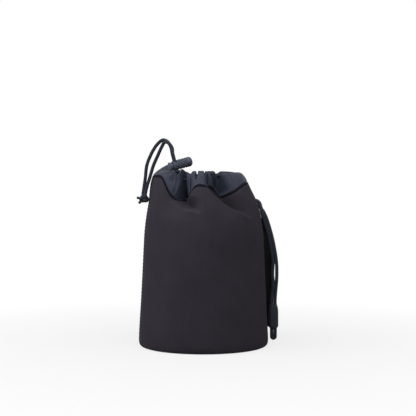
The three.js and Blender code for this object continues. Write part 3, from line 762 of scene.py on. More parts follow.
class Finish(NodeTree):
    """A node material under way."""

    def __init__(self, name, roughness, specular=0.4, sheen=0.0):
        self.material = bpy.data.materials.new(name)
        self.material.use_nodes = True
        super().__init__(self.material.node_tree)
        self.shader = self.tree.nodes["Principled BSDF"]
        for key, value in (
                ("Roughness", roughness), ("Specular IOR Level", specular), ("Sheen Weight", sheen),
                ("Sheen Roughness", SHEEN_ROUGHNESS)):
            self.shader.inputs[key].default_value = value

    def coordinates(self, kind="UV"):
        return self.node("ShaderNodeTexCoord").outputs[kind]

    def bands(self, vector, period, direction="X", distortion=0.0):
        """Sine bands with a period in metres."""
        scale = 0.1 * math.pi / period
        wave = self.node(
            "ShaderNodeTexWave", {"Vector": vector, "Scale": scale, "Distortion": distortion},
            bands_direction=direction)
        return wave.outputs["Fac"]

    def noise(self, vector, scale, detail=3.0):
        made = self.node("ShaderNodeTexNoise", {"Vector": vector, "Scale": scale, "Detail": detail})
        return made.outputs["Fac"]

    def weighted(self, *values):
        """The sum of two values, each times its weight."""
        return self.combine("ADD", *(self.combine("MULTIPLY", value, weight) for value, weight in values))

    def tint(self, colour, factor, dark, light):
        """Base colour between a darker and a lighter shade of one colour."""
        mix = self.node("ShaderNodeMix", {0: factor}, data_type="RGBA")
        colours = [socket for socket in mix.inputs if socket.type == "RGBA"]
        colours[0].default_value = (*(dark * c for c in colour), 1.0)
        colours[1].default_value = (*(light * c for c in colour), 1.0)
        result = next(socket for socket in mix.outputs if socket.type == "RGBA")
        self.tree.links.new(result, self.shader.inputs["Base Color"])

    def relief(self, height, depth, strength=1.0):
        """Bump of a depth in metres."""
        bump = self.node("ShaderNodeBump", {"Height": height, "Distance": depth, "Strength": strength})
        self.tree.links.new(bump.outputs["Normal"], self.shader.inputs["Normal"])

    def rough(self, noise, low, high):
        """Roughness that follows a noise."""
        self.tree.links.new(self.remap(noise, NOISE_RANGE, (low, high)), self.shader.inputs["Roughness"])


def knit_neoprene(name, colour):
    made = Finish(name, roughness=0.9, specular=0.05)
    uv, place = made.coordinates(), made.coordinates("Object")
    ribs = made.bands(uv, period=0.9 * MM, direction="X", distortion=0.6)
    courses = made.bands(uv, period=0.7 * MM, direction="Y", distortion=0.6)
    knit = made.combine("MULTIPLY", ribs, courses)
    fuzz = made.noise(place, scale=900.0, detail=4.0)
    shade = made.weighted((made.noise(place, scale=45.0), 0.6), (knit, 0.4))
    made.tint(colour, shade, dark=0.72, light=1.32)
    made.relief(made.weighted((knit, 1.0), (fuzz, 0.6)), depth=0.16 * MM, strength=0.8)
    return made.material


def woven_nylon(name, colour):
    made = Finish(name, roughness=0.6, specular=0.12)
    uv, place = made.coordinates(), made.coordinates("Object")
    warp = made.bands(uv, period=0.55 * MM, direction="X", distortion=0.2)
    weft = made.bands(uv, period=0.5 * MM, direction="Y", distortion=0.2)
    weave = made.combine("MAXIMUM", warp, weft)
    crinkle = made.noise(place, scale=260.0, detail=4.0)
    made.tint(colour, made.noise(place, scale=120.0), dark=0.8, light=1.22)
    made.relief(made.weighted((weave, 0.5), (crinkle, 1.4)), depth=0.14 * MM, strength=0.7)
    made.rough(crinkle, low=0.48, high=0.66)
    return made.material


def braided_cord(name, colour, strands, pitch):
    made = Finish(name, roughness=0.7, specular=0.06)
    split = made.node("ShaderNodeSeparateXYZ", {0: made.coordinates()})
    turn = made.combine("MULTIPLY", split.outputs["X"], 2 * math.pi * strands)
    run = made.combine("MULTIPLY", split.outputs["Y"], 2 * math.pi / pitch)
    right = made.combine("SINE", made.combine("ADD", turn, run))
    left = made.combine("SINE", made.combine("SUBTRACT", turn, run))
    plait = made.combine("MULTIPLY", right, left)
    fibre = made.noise(made.coordinates("Object"), scale=1800.0, detail=2.0)
    made.tint(colour, made.remap(plait, (-1.0, 1.0), (0.0, 1.0)), dark=0.6, light=1.45)
    made.relief(made.combine("ADD", plait, fibre), depth=0.12 * MM, strength=0.8)
    return made.material


def ribbed_webbing(name, colour):
    made = Finish(name, roughness=0.8, specular=0.06)
    uv = made.coordinates()
    ribs = made.bands(uv, period=1.1 * MM, direction="X", distortion=0.3)
    picks = made.bands(uv, period=0.8 * MM, direction="Y", distortion=0.8)
    weave = made.combine("MULTIPLY", ribs, picks)
    made.tint(colour, weave, dark=0.7, light=1.35)
    made.relief(weave, depth=0.22 * MM, strength=0.9)
    return made.material


def moulded_plastic(name, colour, shade, roughness, grain):
    made = Finish(name, roughness, specular=0.12)
    place = made.coordinates("Object")
    pits = made.noise(place, scale=grain)
    wear = made.noise(place, scale=190.0, detail=4.0)
    # A shade under one darkens the plastic's colour; the slider's 0.34 is painted shade.
    made.tint([shade * c for c in colour], wear, dark=0.85, light=1.25)
    made.rough(wear, low=roughness - 0.06, high=roughness + 0.1)
    made.relief(pits, depth=0.05 * MM, strength=0.5)
    return made.material


def plush_lining(name, colour):
    made = Finish(name, roughness=0.95, specular=0.05, sheen=0.1)
    place = made.coordinates("Object")
    pile = made.noise(place, scale=1300.0, detail=4.0)
    nap = made.noise(place, scale=70.0)
    made.tint(colour, made.weighted((pile, 0.5), (nap, 0.5)), dark=0.6, light=1.5)
    made.relief(pile, depth=0.3 * MM, strength=0.9)
    return made.material


def binding_tape(name, colour):
    made = Finish(name, roughness=0.8, specular=0.05)
    grosgrain = made.bands(made.coordinates(), period=0.8 * MM, direction="X", distortion=0.2)
    made.tint(colour, grosgrain, dark=0.75, light=1.4)
    made.relief(grosgrain, depth=0.12 * MM, strength=0.8)
    return made.material


def cell_foam(name, colour):
    made = Finish(name, roughness=0.95, specular=0.2)
    voronoi = made.node("ShaderNodeTexVoronoi", {"Vector": made.coordinates("Object"), "Scale": 700.0})
    cells = voronoi.outputs["Distance"]
    made.tint(colour, cells, dark=0.6, light=1.4)
    made.relief(cells, depth=0.3 * MM, strength=0.8)
    return made.material


def sewing_thread(name, colour):
    made = Finish(name, roughness=0.5, specular=0.45, sheen=0.1)
    ply = made.noise(made.coordinates("Object"), scale=2500.0, detail=2.0)
    made.tint(colour, ply, dark=0.7, light=1.4)
    made.relief(ply, depth=0.05 * MM, strength=0.6)
    return made.material


def spring_steel(name, colour):
    made = Finish(name, roughness=0.3)
    made.shader.inputs["Metallic"].default_value = 1.0
    drawn = made.noise(made.coordinates("Object"), scale=1200.0, detail=2.0)
    made.tint(colour, drawn, dark=0.8, light=1.1)
    made.rough(drawn, low=0.24, high=0.4)
    return made.material


# What makes each finish, the user's colour that it takes, and its own details
FINISHES = {
    "knit_neoprene": (knit_neoprene, "neoprene", {}),
    "woven_nylon": (woven_nylon, "nylon", {}),
    "drawstring_braid": (braided_cord, "cord", {"strands": 4, "pitch": STRING_PITCH}),
    "carry_braid": (braided_cord, "cord", {"strands": 4, "pitch": CARRY_PITCH}),
    "ribbed_webbing": (ribbed_webbing, "webbing", {}),
    "lock_plastic": (moulded_plastic, "plastic", {"shade": 1.0, "roughness": 0.5, "grain": 900.0}),
    # The slider takes the lock's plastic at about a third of its colour: painted shade for its place on the pouch's
    # shaded right side.
    "slider_plastic": (moulded_plastic, "plastic", {"shade": 0.34, "roughness": 0.4, "grain": 500.0}),
    "plush_lining": (plush_lining, "plush", {}),
    "binding_tape": (binding_tape, "tape", {}),
    "cell_foam": (cell_foam, "foam", {}),
    "sewing_thread": (sewing_thread, "thread", {}),
    "spring_steel": (spring_steel, "steel", {}),
}


def finish_of(name):
    """The material of that name, made once."""
    if name in bpy.data.materials:
        return bpy.data.materials[name]
    make, colour, details = FINISHES[name]
    return make(name, getattr(bpy.context.scene.lens_pouch_colours, colour), **details)


def new_piece(name, mesh, finish):
    """A piece of the pouch with its material, in the scene and not yet riding."""
    piece = bpy.data.objects.new(name, mesh)
    bpy.context.scene.collection.objects.link(piece)
    mesh.materials.append(finish_of(finish))
    return piece


def grid_piece(name, grid, finish, uv=None, fill_ends=False, outwards=False):
    """A piece on a grid of points, with UV lengths in metres unless it has others."""
    mesh = grid_mesh(name, grid, lay_out(grid) if uv is None else uv, fill_ends)
    if outwards:
        face_outwards(mesh)
    return new_piece(name, mesh, finish)


def cord_piece(name, line, radius, braid, finish, closed=False):
    """A cord or wire along a line, with its ends filled unless it closes on itself."""
    grid, uv = braided_tube(line, radius, braid)
    return grid_piece(name, grid, finish, uv, fill_ends=not closed)


def seat_piece(piece, body, slot, *nodes):
    """The piece rides on a body and stands for its nodes."""
    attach(piece, body)
    if nodes:
        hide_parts(*nodes)
    return piece


def thicken(piece, thickness):
    """Gives a sheet its thickness, behind its face."""
    wall = piece.modifiers.new("wall", "SOLIDIFY")
    wall.thickness = thickness
    wall.offset = -1.0
    wall.use_quality_normals = True


def face_outwards(mesh):
    bm = bmesh.new()
    bm.from_mesh(mesh)
    bmesh.ops.recalc_face_normals(bm, faces=bm.faces)
    bm.to_mesh(mesh)
    bm.free()


def cut_slot(piece, lock, start, end):
    """Cuts the cords' slot right through a piece of the lock, between two stations on its axis."""
    bm = bmesh.new()
    bmesh.ops.create_cube(bm, size=2.0)
    middle = np.array([0.5 * (start + end), 0.0, 0.0])
    half_size = np.array([0.5 * (end - start), lock.bore_half_width, 2 * LOCK_RADIUS])
    for vert in bm.verts:
        vert.co = lock.place(middle + half_size * np.array(vert.co), lock.rise)
    bmesh.ops.recalc_face_normals(bm, faces=bm.faces)
    cutter = bpy.data.objects.new("slot", mesh_from(bm, "slot", smooth=False))
    bpy.context.scene.collection.objects.link(cutter)
    cut = piece.modifiers.new("slot", "BOOLEAN")
    cut.object = cutter
    cut.solver = "EXACT"
    evaluated = piece.evaluated_get(bpy.context.evaluated_depsgraph_get())
    result = bpy.data.meshes.new_from_object(evaluated)
    piece.modifiers.remove(cut)
    piece.data = result
    bpy.data.objects.remove(cutter)


def sew(name, line, normals, stitch):
    """A row of stitches along a line that lies on a surface."""
    length, pitch, thickness = stitch
    run = running_length(line)
    count = max(1, int(run[-1] / pitch))
    bm = bmesh.new()
    for place in (np.arange(count) + 0.5) * run[-1] / count:
        start, end = at_places(place + np.array([-0.5, 0.5]) * length, run, line)
        out = unit(at_places(place, run, normals))
        along = unit(end - start)
        side = np.cross(out, along)
        turn = Matrix([(along[i], side[i], out[i]) for i in range(3)]).to_4x4()
        size = Matrix.Diagonal((0.5 * length, 0.5 * thickness, STITCH_RISE * thickness, 1.0))
        matrix = Matrix.Translation(0.5 * (start + end)) @ turn @ size
        bmesh.ops.create_uvsphere(bm, u_segments=6, v_segments=5, radius=1.0, matrix=matrix)
    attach(new_piece(name, mesh_from(bm, name), "sewing_thread"), "pouch")


def pouch_form():
    return PouchForm(bpy.context.scene.lens_pouch_sizes)


def lock_frame(form):
    return LockFrame(form, bpy.context.scene.lens_pouch_sizes.string_diameter)


class LENSPOUCH_OT_stage(bpy.types.Operator):
    """Set the camera, the lights and a plain pale floor"""

    bl_idname = "lenspouch.stage"
    bl_label = "Stage"

    def execute(self, context):
        scene = context.scene
        scene.view_settings.view_transform = "Standard"
        lens = bpy.data.cameras.new("camera")
        lens.lens = CAMERA_LENS
        lens.sensor_width = CAMERA_SENSOR
        camera = bpy.data.objects.new("camera", lens)
        camera.location = CAMERA_PLACE
        camera.rotation_euler = (math.radians(90), 0, 0)
        scene.collection.objects.link(camera)
        scene.camera = camera
        for lamp in LAMPS:
            self.lamp(scene, *lamp)
        self.world(scene)
        self.floor(scene)
        return {"FINISHED"}

    def lamp(self, scene, name, place, size, power):
        light = bpy.data.lights.new(name, "AREA")
        light.size = size
        light.energy = power
        lamp = bpy.data.objects.new(name, light)
        lamp.location = place
        aim = Vector(LAMP_AIM) - lamp.location
        lamp.rotation_euler = aim.to_track_quat("-Z", "Y").to_euler()
        scene.collection.objects.link(lamp)

    def world(self, scene):
        world = bpy.data.worlds.new("studio")
        world.use_nodes = True
        sky = NodeTree(world.node_tree)
        shown = sky.tree.nodes["Background"]
        shown.inputs["Color"].default_value = WHITE
        lit = sky.node("ShaderNodeBackground", {"Color": SKY_COLOUR, "Strength": SKY_STRENGTH})
        sky.mix_shaders(sky.background_rays(), lit, shown, "World Output")
        scene.world = world

    def floor(self, scene):
        bm = bmesh.new()
        bmesh.ops.create_grid(bm, x_segments=4, y_segments=4, size=PAPER_HALF_WIDTH)
        mesh = mesh_from(bm, "floor", smooth=False)
        floor = bpy.data.objects.new("floor", mesh)
        scene.collection.objects.link(floor)
        paper = Finish("white_paper", PAPER_ROUGHNESS, specular=0.5)
        paper.shader.inputs["Base Color"].default_value = PAPER_COLOUR
        glow = paper.node("ShaderNodeEmission", {"Color": WHITE})
        distance = paper.node("ShaderNodeVectorMath", {0: paper.coordinates("Object")}, operation="LENGTH")
        fade = paper.remap(distance.outputs["Value"], PAPER_FADE, PAPER_WHITENESS)
        share = paper.combine("MULTIPLY", paper.background_rays(), fade)
        paper.mix_shaders(share, paper.shader, glow, "Material Output")
        mesh.materials.append(paper.material)


class LENSPOUCH_OT_drawstring(bpy.types.Operator):
    """Run the drawstring round the hem, and hang its two tails and their knot"""

    bl_idname = "lenspouch.drawstring"
    bl_label = "Drawstring"

    def execute(self, context):
        form = pouch_form()
        lock = lock_frame(form)
        diameter = context.scene.lens_pouch_sizes.string_diameter
        self.run(form, lock, diameter)
        ends = [
            self.tail(which, side, route, form, lock, diameter)
            for which, side, route in (("front", -1, FRONT_TAIL), ("back", 1, BACK_TAIL))
        ]
        self.knot(ends, diameter)
        return {"FINISHED"}

    def run(self, form, lock, diameter):
        azimuth = np.linspace(STRING_EXIT_TURN, 360 - STRING_EXIT_TURN, 90) + EXIT_AZIMUTH
        points = [lock.strand(-1, lock.run_end), lock.strand(-1, STRING_BEND * lock.run_end)]
        points += list(form.hem_centre(azimuth))
        points += [lock.strand(1, STRING_BEND * lock.run_end), lock.strand(1, lock.run_end)]
        line = even_steps(route_curve(points, per_span=4), HEM_STEP)
        piece = cord_piece("drawstring_in_hem", line, 0.5 * diameter, HEM_BRAID, "drawstring_braid")
        seat_piece(piece, "pouch", "cord", "drawstring_run")

    def tail(self, which, side, route, form, lock, diameter):
        held = lock.tail_top - lock.tail_start
        points = [lock.strand(side, lock.tail_start + held * share) for share in TAIL_HELD]
        points += [form.beside_wall(place) for place in route]
        line = even_steps(route_curve(points, per_span=24), TAIL_STEP)
        run = np.arange(len(line)) * TAIL_STEP
        loose = smoothstep(run, held + TAIL_SWELL_START, held + TAIL_SWELL_END)
        radius = 0.5 * diameter + CORD_FUZZ + TAIL_SWELL * loose[:, None]
        piece = cord_piece("drawstring_" + which, line, radius, TAIL_BRAID, "drawstring_braid")
        seat_piece(piece, "pouch", "cord", "drawstring_tail_" + which)
        return line[-1]

    def knot(self, ends, diameter):
        width, _, height = KNOT_SIZE
        centre = 0.5 * (ends[0] + ends[1])
        centre[2] -= height - KNOT_OVERLAP
        strand = KNOT_STRAND * diameter
        t = np.linspace(0, 2 * math.pi, 121)[:-1]
        loop = np.stack([np.sin(t) + 2 * np.sin(2 * t), np.sin(3 * t), 2 * np.cos(2 * t) - np.cos(t)], axis=1)
        loop = loop * (np.array(KNOT_SIZE) - strand) / TREFOIL_HALF_SIZE + centre
        line = even_steps(np.vstack([loop, loop[:1]]), KNOT_STEP)
        tied = cord_piece("drawstring_knot_tied", line, strand, KNOT_BRAID, "drawstring_braid", closed=True)
        seat_piece(tied, "pouch", "cord", "drawstring_knot")
        for name, direction in KNOT_ENDS:
            tip = centre + unit(np.array(direction)) * (width + KNOT_TAIL)
            bend = 0.5 * (centre + tip) - np.array([0, 0, KNOT_END_SAG])
            line = even_steps(route_curve([centre, bend, tip], per_span=12), KNOT_STEP)
            piece = cord_piece(name, line, 0.5 * diameter, KNOT_BRAID, "drawstring_braid")
            seat_piece(piece, "pouch", "cord")


class LENSPOUCH_OT_carry_cord(bpy.types.Operator):
    """Hang the doubled carry cord from its tab, with the slider on it"""

    bl_idname = "lenspouch.carry_cord"
    bl_label = "Carry cord"

    def execute(self, context):
        form = pouch_form()
        diameter = context.scene.lens_pouch_sizes.carry_diameter
        spacing = diameter + CLEARANCE
        tab = self.tab_frame(form, diameter)
        centre = around(SLIDER_AZIMUTH, form.radius + SLIDER_STAND_OFF, SLIDER_BOTTOM)
        self.cord(form, tab, centre, diameter, spacing)
        self.tab(tab, diameter)
        self.slider(centre, diameter, spacing)
        return {"FINISHED"}

    def tab_frame(self, form, diameter):
        point, up, along, out = form.wall_frame(np.float64(TAB_AZIMUTH), form.height - TAB_DROP)
        middle = point + (2 * CLEARANCE + TAB_LAYER + 0.5 * diameter) * out
        return middle, up, along, out

    def cord(self, form, tab, centre, diameter, spacing):
        middle, up, along, _ = tab
        fold = 0.5 * spacing

        def tab_end(side, drop):
            return middle + side * fold * along - (0.5 * TAB_LENGTH + CLEARANCE + drop) * up

        def in_slider(offset, z):
            return np.array([centre[0] + offset, centre[1], z])

        straight = [SLIDER_BOTTOM + SLIDER_LENGTH + rise * MM for rise in STRAIGHT_RISES]
        points = [tab_end(-1, -TAB_HOLD), tab_end(-1, diameter)]
        points += [form.beside_wall(place) for place in INNER_STRAND]
        points += [in_slider(-fold, z) for z in straight]
        points += [
            in_slider(fold * math.cos(a), CARRY_FOLD_BOTTOM + fold * (1 - math.sin(a)))
            for a in np.radians(CARRY_FOLD_TURNS)
        ]
        points += [in_slider(fold, z) for z in reversed(straight)]
        points += [form.beside_wall(place) for place in OUTER_STRAND]
        points += [tab_end(1, diameter), tab_end(1, -TAB_HOLD)]
        line = even_steps(route_curve(points, per_span=24), CARRY_STEP)
        piece = cord_piece("carry_cord_braid", line, 0.5 * diameter + CORD_FUZZ, CARRY_BRAID, "carry_braid")
        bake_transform(piece)
        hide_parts("carry_cord")

    def tab(self, tab, diameter):
        middle, up, along, out = tab
        rise = np.linspace(-0.5 * TAB_LENGTH, 0.5 * TAB_LENGTH, 30)
        line = middle + rise[:, None] * up
        half = 0.5 * diameter + TAB_LAYER
        section = rounded_section(0.5 * TAB_WIDTH, half, power=4.0, count=64)
        grid = sweep(line, each_point(along, line), each_point(out, line), section)
        near_end = np.clip(1 - (0.5 * TAB_LENGTH - np.abs(rise)) / TAB_ROUND_END, 0, 1)
        squeeze = 1 - TAB_SQUEEZE * near_end**2
        grid = line[:, None] + (grid - line[:, None]) * squeeze[:, None, None]
        piece = grid_piece("carry_tab_webbing", grid, "ribbed_webbing", fill_ends=True, outwards=True)
        seat_piece(piece, "pouch", "webbing", "carry_tab")
        across = np.linspace(-TAB_STITCH_REACH, TAB_STITCH_REACH, 12)[:, None] * TAB_WIDTH * along
        for i, place in enumerate(TAB_STITCH_ROWS):
            row = middle + place * TAB_LENGTH * up + (half + TAB_STITCH_LIFT) * out + across
            sew(f"tab_stitches_{i + 1}", row, each_point(out, row), TAB_STITCH)

    def slider(self, centre, diameter, spacing):
        width, depth = 0.5 * (spacing + diameter), 0.5 * diameter
        outer = rounded_section(
            width + CLEARANCE + SLIDER_END_WALL, depth + CLEARANCE + SLIDER_SIDE_WALL, power=3.2, count=56)
        bore = rounded_section(width + 0.5 * CLEARANCE, depth + 0.5 * CLEARANCE, power=2.6, count=56)

        def ring(points, height):
            return np.column_stack([points, np.full(len(points), height)])

        t = np.linspace(0, 1, 25)
        foot, head = (
            narrowing * np.clip(1 - away / length, 0, 1) ** power
            for away, (length, narrowing, power) in ((t, SLIDER_FOOT), (1 - t, SLIDER_HEAD)))
        rows = [ring(outer * size, share * SLIDER_LENGTH) for share, size in zip(t, 1 - foot - head)]
        bottom, top = rows[0][:, :2], rows[-1][:, :2]
        for share in np.linspace(0, 1, 6)[1:]:
            rows.append(ring(top + (bore - top) * share, SLIDER_LENGTH + SLIDER_LIP * math.sin(math.pi * share)))
        for share in np.linspace(1, 0, 8)[1:]:
            rows.append(ring(bore, share * SLIDER_LENGTH))
        for share in np.linspace(1, 0, 5)[1:]:
            rows.append(ring(bottom + (bore - bottom) * share, 0.0))
        grid = np.array(rows)
        grid = np.concatenate([grid, grid[:, :1]], axis=1) + centre
        # The slider's finish is the lock's plastic darkened as painted shade.
        piece = grid_piece("carry_slider_sleeve", grid, "slider_plastic", outwards=True)
        seat_piece(piece, "slider", "plastic", "carry_slider")


class LENSPOUCH_OT_wall(bpy.types.Operator):
    """Make the padded neoprene wall with its neck folds, its lining and its side seam"""

    bl_idname = "lenspouch.wall"
    bl_label = "Padded wall"

    def execute(self, context):
        form = pouch_form()
        azimuth = np.linspace(-180, 180, 433)
        self.shell(form, azimuth)
        self.lining(form, azimuth)
        self.side_seam(form)
        return {"FINISHED"}

    def shell(self, form, azimuth):
        corner = [
            around(
                azimuth, form.radius - CORNER_RADIUS * (1 - math.sin(a) ** CORNER_POWER),
                CORNER_RADIUS * (1 - math.cos(a) ** CORNER_POWER))
            for a in quarter_turn(9)[:-1]
        ]
        neck = form.height - FOLD_LENGTH
        straight = np.linspace(CORNER_RADIUS, neck, 20)[:-1]
        folded = np.linspace(neck, form.height, 66)
        grid = np.array(corner + [form.wall(azimuth, z) for z in np.concatenate([straight, folded])])
        piece = grid_piece("neoprene_wall", grid, "knit_neoprene")
        thicken(piece, form.thickness)
        seat_piece(piece, "pouch", "neoprene", "outer_shell")

    def lining(self, form, azimuth):
        low = form.thickness + PAD_THICKNESS + 3 * CLEARANCE
        depth = form.thickness + CLEARANCE
        heights = np.linspace(low, form.height - LINING_DROP, 60)
        grid = np.array([form.behind_wall(azimuth[::2], z, depth) for z in heights])
        piece = grid_piece("plush_wall_lining", grid, "plush_lining")
        thicken(piece, LINING_THICKNESS)
        seat_piece(piece, "pouch", "plush", "inner_lining")

    def side_seam(self, form):
        heights = np.linspace(SIDE_SEAM_BOTTOM, form.height - SIDE_SEAM_DROP, 120)
        for i, turn in enumerate(SIDE_SEAM_AZIMUTHS):
            frames = [form.wall_frame(np.float64(turn), z) for z in heights]
            line = np.array([point for point, _, _, _ in frames])
            normals = np.array([out for _, _, _, out in frames])
            sew(f"side_seam_stitches_{i + 1}", line, normals, SIDE_STITCH)


class LENSPOUCH_OT_floor(bpy.types.Operator):
    """Make the base panel, the foam pad, the floor lining and the binding round it"""

    bl_idname = "lenspouch.floor"
    bl_label = "Floor"

    def execute(self, context):
        form = pouch_form()
        panel = form.radius - CORNER_RADIUS - CLEARANCE
        inside = form.radius - form.thickness - LINING_THICKNESS - 4 * CLEARANCE
        pad = form.thickness + CLEARANCE
        lining = pad + PAD_THICKNESS + CLEARANCE
        for name, radius, low, thickness, edge, finish, slot, node in (
                ("neoprene_base", panel, 0.0, form.thickness, 0.9 * MM, "knit_neoprene", "neoprene", "base_panel"),
                ("foam_pad", inside, pad, PAD_THICKNESS, 0.8 * MM, "cell_foam", "foam", "base_pad"),
                ("plush_floor", inside, lining, FLOOR_LINING, 0.4 * MM, "plush_lining", "plush", "floor_lining")):
            grid = turned(rounded_disc(radius, low, low + thickness, edge), 160)
            piece = grid_piece(name, grid, finish, uv=grid[..., :2])
            seat_piece(piece, "pouch", slot, node)
        self.tape(form, lining + FLOOR_LINING + CLEARANCE)
        self.base_seam(form)
        return {"FINISHED"}

    def tape(self, form, bottom):
        top = bottom + TAPE_WIDTH
        radius = form.wall_radius(top) - form.thickness - LINING_THICKNESS - 3 * CLEARANCE
        bend = [
            (radius - TAPE_BEND * (1 - math.sin(a)), bottom + TAPE_BEND * (1 - math.cos(a)))
            for a in quarter_turn(7)
        ]
        profile = [(radius - TAPE_WIDTH, bottom)] + bend + [(radius, top)]
        piece = grid_piece("floor_binding", turned(profile, 200), "binding_tape")
        thicken(piece, TAPE_THICKNESS)
        seat_piece(piece, "pouch", "tape", "floor_seam_tape")

    def base_seam(self, form):
        azimuth = np.linspace(0, 360, 361)
        drop = CORNER_RADIUS - math.sqrt(CORNER_RADIUS**2 - BASE_SEAM_REACH**2)
        line = around(azimuth, form.radius - CORNER_RADIUS + BASE_SEAM_REACH, drop + BASE_SEAM_LIFT)
        normals = unit(BASE_SEAM_SLOPE * around(azimuth, 1.0, 0.0) - np.array([0.0, 0.0, 1.0]))
        sew("base_seam_stitches", line, normals, BASE_STITCH)


class LENSPOUCH_OT_collar(bpy.types.Operator):
    """Gather the nylon collar from the seam up to its hem, with the piping and the eyelet"""

    bl_idname = "lenspouch.collar"
    bl_label = "Gathered collar"

    def execute(self, context):
        form = pouch_form()
        lock = lock_frame(form)
        spans = [np.linspace(start, end, steps, endpoint=False) for start, end, steps in COLLAR_SPANS]
        azimuth = np.concatenate(spans + [[180.0]])
        self.cloth(form, lock, azimuth)
        self.piping(form, azimuth[::2])
        self.eyelet(lock)
        return {"FINISHED"}

    def hem(self, form, azimuth):
        """Middle and radius of the hem's fold, drawn in at the gathers and lifted at the left."""
        deep = form.gather(azimuth, 1.0, at_hem=True)
        shift = RIPPLE_SHIFT * np.sin(np.radians(RIPPLE_SHIFT_WAVES * azimuth))
        ripple = RIPPLE_DEPTH * np.sin(np.radians(RIPPLE_WAVES * azimuth) + shift)
        middle = form.hem_centre(azimuth) + (ripple - HEM_PULL_IN * deep)[:, None] * around(azimuth, 1.0, 0.0)
        middle[:, 2] += HEM_PUFF - HEM_PULL_DOWN * deep
        return middle, HEM_TUBE * (1 - HEM_PINCH * np.clip(deep / HEM_PINCH_DEPTH, 0, 1))

    def cloth(self, form, lock, azimuth):
        point, up, _, out = form.wall_frame(azimuth, form.height)
        start = point + COLLAR_RISE * up - CLEARANCE * out
        outward = around(azimuth, 1.0, 0.0)
        top = np.array([0.0, 0.0, 1.0])
        middle, tube = self.hem(form, azimuth)

        def on_hem(degrees):
            angle = math.radians(degrees)
            return middle + (tube * math.cos(angle))[:, None] * outward + (tube * math.sin(angle))[:, None] * top

        end = on_hem(HEM_START)
        full = 1 - bell(azimuth, SLACK_AZIMUTH, SLACK_WIDTH)
        lip = LIP_RISE * bell(azimuth, LIP_AZIMUTH, LIP_WIDTH)
        first = start + (SKIRT_RISE + SKIRT_RISE_FULL * full)[:, None] * up
        second = end + SKIRT_REACH * outward + (SKIRT_CROWN + SKIRT_CROWN_FULL * full + lip)[:, None] * top
        groove = GROOVE_DEPTH * bell(azimuth, GROOVE_AZIMUTH, GROOVE_WIDTH)
        rows = []
        for t in np.linspace(0, 1, 27):
            curve = (
                (1 - t) ** 3 * start + 3 * (1 - t) ** 2 * t * first + 3 * (1 - t) * t**2 * second + t**3 * end)
            lean = math.radians(GATHER_LEAN + GATHER_LEAN_MORE * t)
            inward = math.cos(lean) * outward + math.sin(lean) * top
            ease = smoothstep(t, *GATHER_EASE_IN) * (1 - smoothstep(t, *GATHER_EASE_OUT))
            deep = form.gather(azimuth, t) * ease
            deep = deep + groove * math.exp(-(((t - GROOVE_PLACE) / GROOVE_HEIGHT) ** 2))
            rows.append(curve - deep[:, None] * inward)
        rows += [on_hem(degrees) for degrees in np.linspace(HEM_START, HEM_END, 24)[1:]]
        piece = grid_piece("nylon_collar", np.array(rows), "woven_nylon")
        self.open_exit(piece.data, lock)
        thicken(piece, COLLAR_THICKNESS)
        seat_piece(piece, "pouch", "nylon", "collar")

    def open_exit(self, mesh, lock):
        """Cuts the hole where the cords leave the hem, under the eyelet's rim."""
        bm = bmesh.new()
        bm.from_mesh(mesh)
        gone = []
        for face in bm.faces:
            away = np.array(face.calc_center_median()) - lock.exit
            rise = float(away @ lock.up)
            off = float(np.linalg.norm(away - rise * lock.up))
            if rise > 0 and off < 0.5 * (EYELET_BORE + EYELET_RIM):
                gone.append(face)
        bmesh.ops.delete(bm, geom=gone, context="FACES")
        bm.to_mesh(mesh)
        bm.free()

    # The piping's near-black tape colour is partly painted shade: it stands for the shadowed groove between the
    # collar and the wall as well as for the welt.
    def piping(self, form, azimuth):
        point, up, _, out = form.wall_frame(azimuth, form.height)
        line = point + PIPING_RISE * up - PIPING_DEPTH * out
        angle = np.linspace(0, 2 * math.pi, 13)
        grid = np.stack([line + PIPING_RADIUS * (math.cos(a) * out + math.sin(a) * up) for a in angle], axis=1)
        piece = grid_piece("seam_piping_cord", grid, "binding_tape", outwards=True)
        seat_piece(piece, "pouch", "tape", "seam_piping")

    def eyelet(self, lock):
        angle = np.linspace(0, 2 * math.pi, 49)
        middle = 0.5 * (EYELET_BORE + EYELET_RIM)
        section = rounded_section(
            0.5 * (EYELET_RIM - EYELET_BORE), 0.5 * EYELET_THICKNESS, power=2.4, count=20)
        rows = []
        for across, high in np.vstack([section, section[:1]]):
            reach = middle + across
            height = np.full(len(angle), high + 0.5 * EYELET_THICKNESS)
            ring = np.stack([reach * np.cos(angle), reach * np.sin(angle), height], axis=1)
            rows.append(lock.place(ring, lock.eyelet_rise))
        piece = grid_piece("cord_eyelet_ring", np.array(rows), "lock_plastic", outwards=True)
        seat_piece(piece, "pouch", "plastic", "cord_eyelet")


